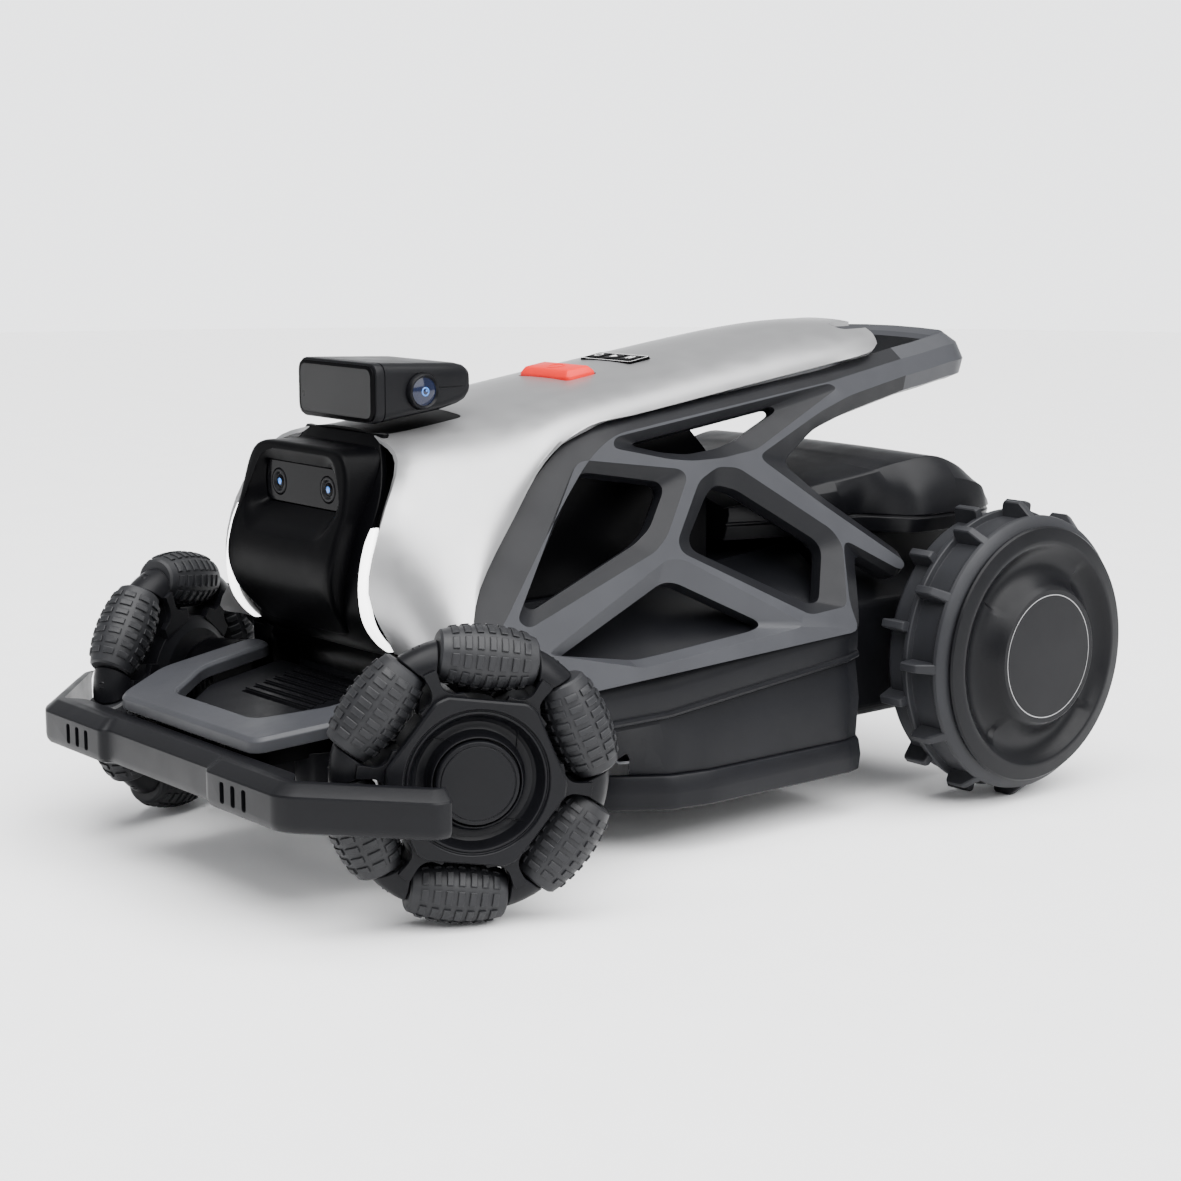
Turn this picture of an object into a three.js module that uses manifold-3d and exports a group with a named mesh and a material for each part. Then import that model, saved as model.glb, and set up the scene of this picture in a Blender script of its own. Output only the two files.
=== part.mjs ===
// Four-wheel robotic lawn mower: omni wheels in front, driven lugged wheels behind.
// Units are millimetres. +Z is up, the nose looks along -Y and the left side is +X.
// Everything is drawn from the front axle (y = 0) and the ground (z = 0), and the
// outermost group then moves the middle of the machine's length to y = 0.
import * as THREE from 'three';
import { mergeVertices } from 'three/addons/utils/BufferGeometryUtils.js';
import Module from 'manifold-3d';

const wasm = await Module();
wasm.setup();

// ---- Driving dimensions ---------------------------------------------------
const GAP = 0.4;
const WHEELBASE = 508;

const BUMPER_FRONT = -123;
const BUMPER_LOW = 73;
const BUMPER_HIGH = 104;

const FRONT_RADIUS = 97;
const FRONT_X = 184.7;
const TOE_IN = THREE.MathUtils.degToRad(25);
const ROLLER_COUNT = 6;
const ROLLER_RING = 75;
const ROLLER_HALF = 31.5;
const ROLLER_PHASE = THREE.MathUtils.degToRad(8);
const ROLLER_PIN = 4;

const REAR_RADIUS = 113;
const LUGS = 12;
const CARCASS = 101.5;
const RIM_BORE = 81;
const SHAFT = 9;

const PANEL_LEAN = 0.442;          // inward run of the side panels per unit of height
const PANEL_X = 157;               // half-width of the side panels at PANEL_Z
const PANEL_Z = 145;
const PANEL_DEPTH = 22;
const PANEL_BEVEL = 7;
const PANEL_END = 500;             // where the side panels meet the rear handle

const COVER_SKIN = 3;
const SHELL = 4;

const DECK_REAR = 385;
const DECK_X = 158;
const BEAD_REAR = 118;             // height of the deck's moulded bead at the rear
const DECK_SLOPE = 0.093;
const DECK_LEVEL_Y = 190;          // ahead of this the bead runs level
const RIM_TOP = 58;
const RIM_LOW = 33;
const MOTOR_Y = 262;

const BUTTON = { y: 218, z: 325.4, tilt: Math.atan(0.145), width: 58, depth: 27 };
const KEYPAD = { y: 273, z: 334.2, tilt: Math.atan(0.163), width: 58, depth: 21 };

// ---- Materials ------------------------------------------------------------
const finish = (color, roughness, metalness = 0) =>
  new THREE.MeshStandardMaterial({ color, roughness, metalness });
const GRAPHITE = finish(0x4a4b50, 0.55);
const CHARCOAL = finish(0x26272b, 0.5);
const BLACK = finish(0x121316, 0.45);
const SILVER = finish(0xb9b9b9, 0.35, 0.3);
const RUBBER = finish(0x2a2b2f, 0.85);
const GLASS = finish(0x0c0d12, 0.1);
const LIGHT = finish(0xffffff, 0.3);
const RED = finish(0xe5302c, 0.4);
const STEEL = finish(0xa8abb0, 0.3, 0.9);
const BOARD = finish(0x1f5a38, 0.6);
const GREY = finish(0x4d4e52, 0.35);

// ---- Solid helpers --------------------------------------------------------
function solid(geometry) {
  const bare = geometry.clone();
  bare.deleteAttribute('normal');
  bare.deleteAttribute('uv');
  const merged = mergeVertices(bare, 1e-3);
  const vertProperties = new Float32Array(merged.attributes.position.array);
  const triVerts = new Uint32Array(merged.index.array);
  return new wasm.Manifold(new wasm.Mesh({ numProp: 3, vertProperties, triVerts }));
}

function geometryOf(manifold) {
  const mesh = manifold.getMesh();
  const geometry = new THREE.BufferGeometry();
  geometry.setAttribute('position', new THREE.BufferAttribute(mesh.vertProperties, 3));
  geometry.setIndex(new THREE.BufferAttribute(mesh.triVerts, 1));
  return geometry;
}

function cut(body, ...tools) {
  return geometryOf(tools.reduce((rest, tool) => rest.subtract(solid(tool)), solid(body)));
}

function join(body, ...more) {
  return geometryOf(more.reduce((sum, piece) => sum.add(solid(piece)), solid(body)));
}

function common(body, mask) {
  return geometryOf(solid(body).intersect(solid(mask)));
}

function signedVolume(geometry) {
  const p = geometry.attributes.position;
  const index = geometry.index.array;
  const [a, b, c] = [new THREE.Vector3(), new THREE.Vector3(), new THREE.Vector3()];
  let volume = 0;
  for (let i = 0; i < index.length; i += 3) {
    a.fromBufferAttribute(p, index[i]);
    b.fromBufferAttribute(p, index[i + 1]);
    c.fromBufferAttribute(p, index[i + 2]);
    volume += a.dot(b.cross(c));
  }
  return volume;
}

function flipped(geometry) {
  const index = Array.from(geometry.index.array);
  for (let i = 0; i < index.length; i += 3) {
    [index[i], index[i + 1]] = [index[i + 1], index[i]];
  }
  geometry.setIndex(index);
  return geometry;
}

function closedMesh(points, index) {
  const geometry = new THREE.BufferGeometry().setFromPoints(points);
  geometry.setIndex(index);
  return signedVolume(geometry) < 0 ? flipped(geometry) : geometry;
}

// The mirror image in the plane x = 0.
function mirrored(geometry) {
  const copy = geometryOf(solid(geometry));
  copy.scale(-1, 1, 1);
  return flipped(copy);
}

// Triangles of an outline, wound the same way round as the outline itself.
function capTriangles(outline) {
  const triangles = THREE.ShapeUtils.triangulateShape(outline, []);
  return THREE.ShapeUtils.isClockWise(outline) ? triangles.map(([a, b, c]) => [b, a, c]) : triangles;
}

// A solid through a row of closed rings of equal length; flat(p) lays a ring out for its end caps.
function loft(rings, flat) {
  const count = rings[0].length;
  const index = [];
  for (let i = 0; i + 1 < rings.length; i += 1) {
    for (let j = 0; j < count; j += 1) {
      const a = i * count + j;
      const b = i * count + (j + 1) % count;
      index.push(a, b, a + count, b, b + count, a + count);
    }
  }
  const last = (rings.length - 1) * count;
  for (const [a, b, c] of capTriangles(rings[0].map(flat))) index.push(b, a, c);
  for (const [a, b, c] of capTriangles(rings.at(-1).map(flat))) index.push(last + a, last + b, last + c);
  return closedMesh(rings.flat(), index);
}

const flatXZ = (p) => new THREE.Vector2(p.x, p.z);

// A solid skin of even thickness behind a grid of points.
function skin(grid, thickness) {
  const rows = grid.length;
  const columns = grid[0].length;
  const at = (i, j) => {
    const row = grid[THREE.MathUtils.clamp(i, 0, rows - 1)];
    return row[THREE.MathUtils.clamp(j, 0, columns - 1)];
  };
  const back = grid.map((row, i) => row.map((p, j) => {
    const across = at(i, j + 1).clone().sub(at(i, j - 1));
    const along = at(i + 1, j).clone().sub(at(i - 1, j));
    return p.clone().addScaledVector(across.cross(along).normalize(), thickness);
  }));
  const layer = rows * columns;
  const index = [];
  const quad = (a, b, c, d) => index.push(a, b, c, a, c, d);
  for (let i = 0; i + 1 < rows; i += 1) {
    for (let j = 0; j + 1 < columns; j += 1) {
      const a = i * columns + j;
      quad(a, a + 1, a + columns + 1, a + columns);
      quad(layer + a, layer + a + columns, layer + a + columns + 1, layer + a + 1);
    }
  }
  const border = [];
  for (let j = 0; j + 1 < columns; j += 1) border.push(j);
  for (let i = 0; i + 1 < rows; i += 1) border.push(i * columns + columns - 1);
  for (let j = columns - 1; j > 0; j -= 1) border.push((rows - 1) * columns + j);
  for (let i = rows - 1; i > 0; i -= 1) border.push(i * columns);
  border.forEach((a, k) => {
    const b = border[(k + 1) % border.length];
    quad(b, a, layer + a, layer + b);
  });
  return closedMesh([...grid.flat(), ...back.flat()], index);
}

// A polygon whose corners are rounded by the given radius.
function rounded(points, radius) {
  const path = new THREE.Shape();
  const corners = points.map(([x, y]) => new THREE.Vector2(x, y));
  if (THREE.ShapeUtils.isClockWise(corners)) corners.reverse();
  corners.forEach((corner, i) => {
    const before = corners[(i + corners.length - 1) % corners.length];
    const after = corners[(i + 1) % corners.length];
    const reachIn = Math.min(radius, corner.distanceTo(before) / 2.2);
    const reachOut = Math.min(radius, corner.distanceTo(after) / 2.2);
    const start = corner.clone().add(before.clone().sub(corner).setLength(reachIn));
    const end = corner.clone().add(after.clone().sub(corner).setLength(reachOut));
    if (i === 0) path.moveTo(start.x, start.y);
    else path.lineTo(start.x, start.y);
    path.quadraticCurveTo(corner.x, corner.y, end.x, end.y);
  });
  path.closePath();
  return path;
}

// A polygon with sharp corners.
function polygon(points) {
  const corners = points.map(([x, y]) => new THREE.Vector2(x, y));
  return new THREE.Shape(THREE.ShapeUtils.isClockWise(corners) ? corners.reverse() : corners);
}

const rectangle = (width, height, radius) => rounded([
  [-width / 2, -height / 2], [width / 2, -height / 2], [width / 2, height / 2], [-width / 2, height / 2],
], radius);

// A prism of a shape from z = low to z = high, with its rims bevelled inwards.
function prism(shape, low, high, bevel = 0, steps = 3) {
  const geometry = new THREE.ExtrudeGeometry(shape, {
    depth: high - low - 2 * bevel,
    bevelEnabled: bevel > 0,
    bevelThickness: bevel,
    bevelSize: bevel,
    bevelOffset: -bevel,
    bevelSegments: 1,
    curveSegments: steps,
  });
  geometry.translate(0, 0, low + bevel);
  return geometry;
}

const ALONG_X = new THREE.Matrix4().makeBasis(
  new THREE.Vector3(0, 1, 0), new THREE.Vector3(0, 0, 1), new THREE.Vector3(1, 0, 0));
const ALONG_Y = new THREE.Matrix4().makeBasis(
  new THREE.Vector3(-1, 0, 0), new THREE.Vector3(0, 0, 1), new THREE.Vector3(0, 1, 0));

// Prisms along X of a (y, z) outline, and along Y of an (x, z) outline.
const prismX = (...sizes) => prism(...sizes).applyMatrix4(ALONG_X);
const prismY = (...sizes) => prism(...sizes).applyMatrix4(ALONG_Y);

function box(x, y, z) {
  const geometry = new THREE.BoxGeometry(x[1] - x[0], y[1] - y[0], z[1] - z[0]);
  return geometry.translate((x[0] + x[1]) / 2, (y[0] + y[1]) / 2, (z[0] + z[1]) / 2);
}

// A turned solid about X from [x, r] pairs.
function turnedX(profile, segments) {
  const points = profile.map(([x, r]) => new THREE.Vector2(r, x));
  return new THREE.LatheGeometry(points, segments).rotateZ(-Math.PI / 2);
}

// ---- Scene graph ----------------------------------------------------------
const mower = new THREE.Group();
mower.position.y = -(BUMPER_FRONT + WHEELBASE + REAR_RADIUS) / 2;

function place(parent, name, geometry, material) {
  const mesh = new THREE.Mesh(geometry, material);
  mesh.name = name;
  parent.add(mesh);
  return mesh;
}

function group(parent, x, y, z, turn = {}) {
  const child = new THREE.Group();
  child.position.set(x, y, z);
  child.rotation.set(turn.x ?? 0, turn.y ?? 0, turn.z ?? 0);
  parent.add(child);
  return child;
}

const SIDES = [['left', 1], ['right', -1]];
const handed = (geometry, side) => (side > 0 ? geometry : mirrored(geometry));

// ---- Deck: rim, housing and upper shell -------------------------------------
// Plan half-widths along the machine, [y, at the bead, at the rim].
const DECK_PLAN = [
  [46, 92, 40], [62, 122, 50], [84, 146, 62], [112, DECK_X, 78], [140, DECK_X, 104], [164, DECK_X, 130],
  [196, DECK_X, 152], [228, DECK_X, DECK_X], [364, DECK_X, DECK_X], [378, 154, 154], [DECK_REAR, 145, 145],
];
const RIM_START = 140;

const bead = (y) => BEAD_REAR - DECK_SLOPE * (DECK_REAR - Math.max(y, DECK_LEVEL_Y));
const point = (x, y, z) => new THREE.Vector3(x, y, z);

// Closes a half profile of [x, z] pairs over the mid-plane at the given y.
function fullRing(half, y) {
  const right = half.map(([x, z]) => point(x, y, z));
  const left = half.filter(([x]) => x > 0).reverse().map(([x, z]) => point(-x, y, z));
  return [...right, ...left];
}

// Moves the two ends of a row of stations inwards by a wall's thickness.
function insetStations(stations, wall) {
  const first = stations[0];
  const last = stations.at(-1);
  return [
    [first[0] + wall, ...first.slice(1)],
    ...stations.slice(1, -1),
    [last[0] - wall, ...last.slice(1)],
  ];
}

function deckHousing() {
  const stations = DECK_PLAN.filter(([y]) => y >= RIM_START);
  const body = (inset, low, drop) => loft(insetStations(stations, inset).map(([y, high, base]) => fullRing([
    [base - inset, low], [high - inset, bead(y) - drop],
  ], y)), flatXZ);
  const hollow = body(SHELL, RIM_TOP - 10, GAP + SHELL);
  const motorWell = prism(rectangle(150, 150, 20), 0, 200).translate(0, MOTOR_Y, 0);
  return cut(body(0, RIM_TOP + GAP, GAP), hollow, motorWell);
}

function deckRim() {
  const stations = DECK_PLAN.filter(([y]) => y >= RIM_START);
  const lip = 4;
  const outer = stations.map(([y, , base]) => fullRing([
    [base + lip - 1, RIM_LOW], [base + lip, RIM_LOW + 3], [base + lip, RIM_TOP - 3], [base, RIM_TOP],
  ], y));
  const inner = insetStations(stations, SHELL).map(([y, , base]) => fullRing([
    [base - SHELL, RIM_LOW - 5], [base - SHELL, RIM_TOP + 5],
  ], y));
  return cut(loft(outer, flatXZ), loft(inner, flatXZ));
}

const RAMP_X = 74;
const RAMP_RISE = 76;

function deckUpperBody(inset, drop) {
  return loft(insetStations(DECK_PLAN, inset).map(([y, high]) => {
    const base = bead(y);
    const ramp = Math.min(RAMP_X, high - 20);
    return fullRing([
      [high - inset, base - drop], [high - inset, base + 21 - inset / 2],
      [high - 9 - inset, base + 34 - inset], [ramp, base + RAMP_RISE - inset],
    ], y);
  }), flatXZ);
}

const deckUpper = () => cut(deckUpperBody(0, 0), deckUpperBody(SHELL, 10));

place(mower, 'deck_rim', deckRim(), CHARCOAL);
place(mower, 'deck_housing', deckHousing(), GRAPHITE);
place(mower, 'deck_upper', deckUpper(), GRAPHITE);

// ---- Body tub, rear drive housing and hood --------------------------------
const TUB = { x: 67, front: 60, rear: 305, top: 288 };

function bodyTub() {
  const outline = (inset, floor) => rounded([
    [TUB.front + inset, floor(TUB.front)], [DECK_LEVEL_Y, floor(DECK_LEVEL_Y)],
    [TUB.rear - inset, floor(TUB.rear)], [TUB.rear - inset, TUB.top - 20],
    [TUB.rear - 20 - inset, TUB.top + inset], [TUB.front + inset, TUB.top + inset],
  ], 4);
  const outer = prismX(outline(0, (y) => bead(y) + RAMP_RISE + GAP), -TUB.x, TUB.x);
  const hollow = outline(SHELL, (y) => bead(y) + RAMP_RISE + GAP + SHELL);
  const inner = prismX(hollow, -TUB.x + SHELL, TUB.x - SHELL);
  return cut(outer, inner);
}

const HOUSING = { front: 392, rear: 540, x: 128, neck: 100, low: 62, shoulder: 150, high: 200 };

function driveHousing() {
  const body = (inset, top) => common(
    prismX(polygon([
      [HOUSING.front + inset, HOUSING.low + inset], [HOUSING.rear - 14 - inset, HOUSING.low + inset],
      [HOUSING.rear - inset, HOUSING.low + 20], [HOUSING.rear - inset, top], [HOUSING.front + inset, top],
    ]), -HOUSING.x, HOUSING.x),
    prismY(polygon([
      [-HOUSING.x + 8 + inset, HOUSING.low], [HOUSING.x - 8 - inset, HOUSING.low],
      [HOUSING.x - inset, HOUSING.low + 8], [HOUSING.x - inset, HOUSING.shoulder],
      [HOUSING.neck - inset, HOUSING.shoulder + 24], [HOUSING.neck - inset, top],
      [-HOUSING.neck + inset, top], [-HOUSING.neck + inset, HOUSING.shoulder + 24],
      [-HOUSING.x + inset, HOUSING.shoulder], [-HOUSING.x + inset, HOUSING.low + 8],
    ]), 300, 600));
  const port = turnedX([[-150, 0], [-150, 28], [150, 28], [150, 0]], 16).translate(0, WHEELBASE, REAR_RADIUS);
  return cut(body(0, HOUSING.high), body(SHELL, HOUSING.high + 10), port);
}

// Hood stations: [y, lip half-width, crease half-width, crease height, middle height].
const HOOD_PLAN = [
  [318, 76, 70, 226, 238], [360, 90, 84, 233, 243], [398, 98, 98, 240, 248], [430, 101, 108, 246, 252],
  [446, 124, 114, 250, 254], [458, 138, 119, 253, 256], [488, 141, 124, 256, 258], [512, 141, 126, 248, 250],
  [532, 138, 122, 236, 238], [546, 130, 112, 218, 219],
];
const HOOD_LIP = 214;

function rearHood() {
  const lift = GAP + 0.4;
  const ring = (inset, drop) => ([y, lip, crease, edge, middle]) => fullRing([
    [lip - 4 - inset, HOUSING.high + lift - drop],
    [lip - inset, HOOD_LIP - inset], [(lip + crease) / 2 + 4 - inset, (HOOD_LIP + edge) / 2 + 6 - inset],
    [crease - inset, edge - inset], [0, middle - inset],
  ], y);
  const body = (inset, drop) => loft(insetStations(HOOD_PLAN, inset).map(ring(inset, drop)), flatXZ);
  return cut(body(0, 0), body(SHELL, 10));
}

place(mower, 'body_tub', bodyTub(), BLACK);
place(mower, 'drive_housing', driveHousing(), CHARCOAL);
place(mower, 'rear_hood', rearHood(), CHARCOAL);

// ---- Skeleton side frames and the rear handle -------------------------------
const leanCos = 1 / Math.hypot(1, PANEL_LEAN);
const leanSin = PANEL_LEAN * leanCos;
const PANEL_BASIS = new THREE.Matrix4().makeBasis(
  new THREE.Vector3(0, 1, 0), new THREE.Vector3(-leanSin, 0, leanCos), new THREE.Vector3(leanCos, 0, leanSin),
).setPosition(PANEL_X, 0, PANEL_Z);

// Outline and windows of the left side frame as (y, z) seen square from the side.
const FRAME_EDGE = [
  [38, 150], [30, 167], [54, 187], [97, 227], [130, 257], [156, 279], [175, 291], [200, 298], [249, 304],
  [415, 322], [PANEL_END + 20, 337], [PANEL_END + 20, 305], [430, 290], [391, 280], [352, 260], [382, 232],
  [446, 191], [437, 171], [398, 194], [388, 150], [380, 126], [70, 126],
];
const FRAME_WINDOWS = [
  [[83, 187], [156, 263], [166, 267], [226, 256], [232, 248], [210, 226], [190, 213], [92, 182]],
  [[240, 214], [268, 243], [282, 250], [300, 245], [361, 203], [366, 194], [351, 161], [337, 160],
    [245, 205]],
  [[206, 190], [218, 189], [284, 157], [275, 153], [191, 147], [165, 147], [112, 152]],
  [[214, 280], [262, 284], [354, 299], [359, 295], [312, 279], [290, 274], [262, 272], [236, 274]],
];
const leaning = ([y, z]) => [y, (z - PANEL_Z) / leanCos];

// Moves every corner of a counter-clockwise polygon outwards along its mitre.
function grown(points, distance) {
  const corners = points.map(([x, y]) => new THREE.Vector2(x, y));
  if (THREE.ShapeUtils.isClockWise(corners)) corners.reverse();
  const outward = corners.map((corner, i) => {
    const edge = corners[(i + 1) % corners.length].clone().sub(corner).normalize();
    return new THREE.Vector2(edge.y, -edge.x);
  });
  return corners.map((corner, i) => {
    const before = outward[(i + corners.length - 1) % corners.length];
    const mitre = before.clone().add(outward[i]).divideScalar(1 + before.dot(outward[i]));
    const moved = corner.clone().addScaledVector(mitre, distance);
    return [moved.x, moved.y];
  });
}

// A prism whose outline grows or shrinks from layer to layer, each given as [growth, z].
function layered(points, radius, steps, layers) {
  const rings = layers.map(([growth, z]) => (
    rounded(grown(points, growth), radius).getPoints(steps).slice(0, -1).map((p) => point(p.x, p.y, z))));
  return loft(rings, (p) => new THREE.Vector2(p.x, p.y));
}

function sideFrame(side) {
  const back = -PANEL_DEPTH;
  const panel = layered(FRAME_EDGE.map(leaning), 12, 2, [[0, back], [0, -PANEL_BEVEL], [-PANEL_BEVEL, 0]]);
  const windows = FRAME_WINDOWS.map((window) => layered(window.map(leaning), 6, 1, [
    [0, back - 2], [0, -PANEL_BEVEL], [PANEL_BEVEL + 2, 2],
  ]));
  const beyond = box([-300, 300], [PANEL_END, 600], [200, 500]);
  const frame = handed(cut(panel, ...windows).applyMatrix4(PANEL_BASIS), side);
  return cut(frame, beyond, deckUpperBody(-GAP, GAP));
}

// Half of the handle's path in plan, [x, y], and how its outer skin rises to the rear.
const HANDLE_PATH = [
  [75.5, PANEL_END + GAP], [73.5, 535], [71.5, 558], [67, 572], [57, 580], [42, 583], [0, 584],
];
// Handle section as [inward, height] from the outer crease.
const HANDLE_SECTION = [[7, 8], [0, 0], [-5.5, -13], [-1, -25], [14, -22], [20, -6], [20, 6]];

function rearHandle() {
  const half = HANDLE_PATH.map(([x, y]) => new THREE.Vector2(x, y));
  const path = [...half, ...half.slice(0, -1).reverse().map((p) => new THREE.Vector2(-p.x, p.y))];
  const rings = path.map((p, i) => {
    const ahead = path[Math.min(i + 1, path.length - 1)];
    const behind = path[Math.max(i - 1, 0)];
    const along = ahead.clone().sub(behind).normalize();
    const inward = i === 0 || i === path.length - 1
      ? new THREE.Vector2(-Math.sign(p.x), 0)
      : new THREE.Vector2(-along.y, along.x);
    const crease = 327 + 8 * Math.min((p.y - PANEL_END) / 70, 1);
    return HANDLE_SECTION.map(([step, rise]) => (
      point(p.x + inward.x * step, p.y + inward.y * step, crease + rise)));
  });
  return loft(rings, flatXZ);
}

for (const [name, side] of SIDES) {
  place(mower, `side_frame_${name}`, sideFrame(side), GRAPHITE);
}
place(mower, 'rear_handle', rearHandle(), GRAPHITE);

// ---- Top cover, camera pad, STOP button and keys ----------------------------
// Control net of the cover's left half. Each row runs from the lower edge to the middle.
const COVER_NET = [
  [[90, 9, 158], [89, -10, 200], [90, 0, 244], [77, 23, 283], [40, 30, 296], [0, 32, 299]],
  [[150, 20, 158], [130, 18, 205], [108, 36, 250], [84, 62, 290], [45, 72, 302], [0, 74, 305]],
  [[133, 46, 200], [124, 54, 226], [108, 72, 259], [86, 97, 293], [46, 105, 306], [0, 107, 309]],
  [[114, 90, 243], [109, 100, 262], [100, 112, 280], [82, 128, 300], [45, 136, 311], [0, 138, 314]],
  [[98, 132, 279], [94, 140, 291], [88, 150, 302], [74, 158, 311], [42, 163, 316], [0, 165, 318]],
  [[90, 175, 297], [87, 178, 303], [80, 181, 309], [66, 184, 316], [38, 187, 320], [0, 188, 321.5]],
  [[87, 220, 302], [84, 220, 308], [78, 220, 315], [62, 220, 322], [35, 220, 325.5], [0, 220, 326]],
  [[80, 355, 319], [78, 355, 325], [71, 355, 333], [55, 355, 341.5], [30, 355, 346.5], [0, 355, 348]],
  [[77, 420, 327], [75, 420, 333], [68, 420, 341], [52, 420, 349.5], [28, 420, 355.5], [0, 420, 357]],
  [[74, 468, 334], [72, 468, 340], [65, 468, 346], [50, 468, 351.5], [27, 468, 356], [0, 468, 357.5]],
  [[64, 486, 339], [61, 487, 343], [56, 488, 347], [46, 488, 351.5], [25, 488, 355], [0, 488, 356]],
];
const COVER_ROWS = 13;
const COVER_COLUMNS = 10;

// Smooth curve through points, sampled evenly in its parameter.
const sampled = (points, count) => {
  const curve = new THREE.CatmullRomCurve3(points, false, 'centripetal');
  return Array.from({ length: count + 1 }, (_, k) => curve.getPoint(k / count));
};

function coverGrid() {
  const rows = COVER_NET.map((half) => {
    const left = half.map(([x, y, z]) => point(x, y, z));
    return [...left, ...left.slice(0, -1).reverse().map((p) => point(-p.x, p.y, p.z))];
  });
  const columns = rows[0].map((_, j) => sampled(rows.map((row) => row[j]), COVER_ROWS));
  return columns[0].map((_, i) => sampled(columns.map((column) => column[i]), COVER_COLUMNS));
}

const PAD = { x: 40, rear: 104 };
const NOTCH = { x: 40, half: 9, front: 461 };

// Lifts a prism drawn about z = 0 into the tilted frame of a control on the cover.
const seated = (geometry, seat) => geometry.rotateX(seat.tilt).translate(0, seat.y, seat.z);

const coverSheet = skin(coverGrid(), COVER_SKIN);
const buttonHole = seated(prism(rectangle(BUTTON.width + 2, BUTTON.depth + 2, 5), -20, 20), BUTTON);
const keypadHole = seated(prism(rectangle(KEYPAD.width + 1, KEYPAD.depth + 1, 3), -20, 20), KEYPAD);
const notches = SIDES.map(([, side]) => (
  prism(rectangle(2 * NOTCH.half, 60, 8), 300, 400).translate(side * NOTCH.x, NOTCH.front + 30, 0)));
const padMask = box([-PAD.x + GAP, PAD.x - GAP], [0, PAD.rear - GAP], [250, 400]);
const padHole = box([-PAD.x, PAD.x], [0, PAD.rear], [250, 400]);

place(mower, 'top_cover', cut(coverSheet, buttonHole, keypadHole, padHole, ...notches), SILVER);
place(mower, 'camera_pad', common(coverSheet, padMask), BLACK);

const stopButton = prism(rectangle(BUTTON.width, BUTTON.depth, 5), -9, 6, 4, 2);
place(group(mower, 0, BUTTON.y, BUTTON.z, { x: BUTTON.tilt }), 'stop_button', stopButton, RED);

const KEYS = 3;
const KEY = { pitch: 18, width: 14, depth: 14 };
const keypad = group(mower, 0, KEYPAD.y, KEYPAD.z, { x: KEYPAD.tilt });
const keyX = (k) => (k - (KEYS - 1) / 2) * KEY.pitch;
const keyHoles = Array.from({ length: KEYS }, (_, k) => (
  prism(rectangle(KEY.width + 1, KEY.depth + 1, 2), -10, 10, 0, 1).translate(keyX(k), 0, 0)));
const keypadPlate = prism(rectangle(KEYPAD.width, KEYPAD.depth, 3), -3, 0.6, 0, 2);
place(keypad, 'keypad_panel', cut(keypadPlate, ...keyHoles), BLACK);
for (let k = 0; k < KEYS; k += 1) {
  const key = prism(rectangle(KEY.width, KEY.depth, 2), -2.5, 1.4, 0.6, 1).translate(keyX(k), 0, 0);
  place(keypad, `key_${k + 1}`, key, BLACK);
}

// ---- Nose shell, sensor bezel, lights ---------------------------------------
const NOSE_X = 78;
const NOSE_PROFILE = [
  [27, 293], [22, 283], [9, 262], [-1, 244], [-9, 222], [-12, 200], [-9, 180], [-1, 167], [10, 157],
  [24, 149],
];

function noseShell() {
  const back = NOSE_PROFILE.map(([y, z]) => [y + SHELL + 1, z]).reverse();
  const band = prismX(rounded([...NOSE_PROFILE, ...back], 0.5), -NOSE_X, NOSE_X, 0, 1);
  const face = prismY(rounded([
    [-NOSE_X, 140], [NOSE_X, 140], [NOSE_X, 246], [72, 275], [52, 288], [-52, 288], [-72, 275],
    [-NOSE_X, 246],
  ], 10), -60, 80);
  return common(band, face);
}

const BEZEL_PROFILE = [
  [21, 287], [-5, 287], [-12, 250], [-20, 229], [-24, 208], [-19, 188], [-5, 169],
  ...NOSE_PROFILE.slice(1, 8).reverse().map(([y, z]) => [y - GAP, z]),
];
const BEZEL_FACE = [
  [-54, 165], [54, 165], [61, 190], [65, 215], [65, 250], [58, 276], [46, 289], [-46, 289],
  [-58, 276], [-65, 250], [-65, 215], [-61, 190],
];
const WINDOW = { low: 248, high: 275, half: 46, y: -2 };

function sensorBezel() {
  const block = prismX(rounded(BEZEL_PROFILE, 1), -66, 66, 0, 1);
  const face = prismY(rounded(BEZEL_FACE, 8), -60, 80);
  const ring = (y, half, low, high) => [[-half, low], [half, low], [half, high], [-half, high]]
    .map(([x, z]) => point(x, y, z));
  const pocket = loft([
    [
      point(-44, -24, 226), point(44, -24, 226), point(62, -16, 250), point(44, -9, 288),
      point(-44, -9, 288), point(-62, -16, 250),
    ],
    [
      point(-44, WINDOW.y, WINDOW.low), point(44, WINDOW.y, WINDOW.low), point(WINDOW.half, WINDOW.y, 260),
      point(44, WINDOW.y, WINDOW.high), point(-44, WINDOW.y, WINDOW.high), point(-WINDOW.half, WINDOW.y, 260),
    ],
  ], flatXZ);
  const recess = loft([
    ring(WINDOW.y - 3, WINDOW.half, WINDOW.low, WINDOW.high),
    ring(WINDOW.y + 2 + GAP, WINDOW.half, WINDOW.low, WINDOW.high),
  ], flatXZ);
  return cut(common(block, face), pocket, recess);
}

const LENS = { x: 30, z: 261, radius: 8.5 };

function stereoWindow() {
  const outline = rectangle(2 * WINDOW.half - 1, WINDOW.high - WINDOW.low - 1, 3);
  const plate = prismY(outline, WINDOW.y, WINDOW.y + 2).translate(0, 0, (WINDOW.high + WINDOW.low) / 2);
  const bore = LENS.radius + GAP;
  const holes = SIDES.map(([, side]) => (
    new THREE.CylinderGeometry(bore, bore, 20, 20).translate(side * LENS.x, 0, LENS.z)));
  return cut(plate, ...holes);
}

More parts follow.
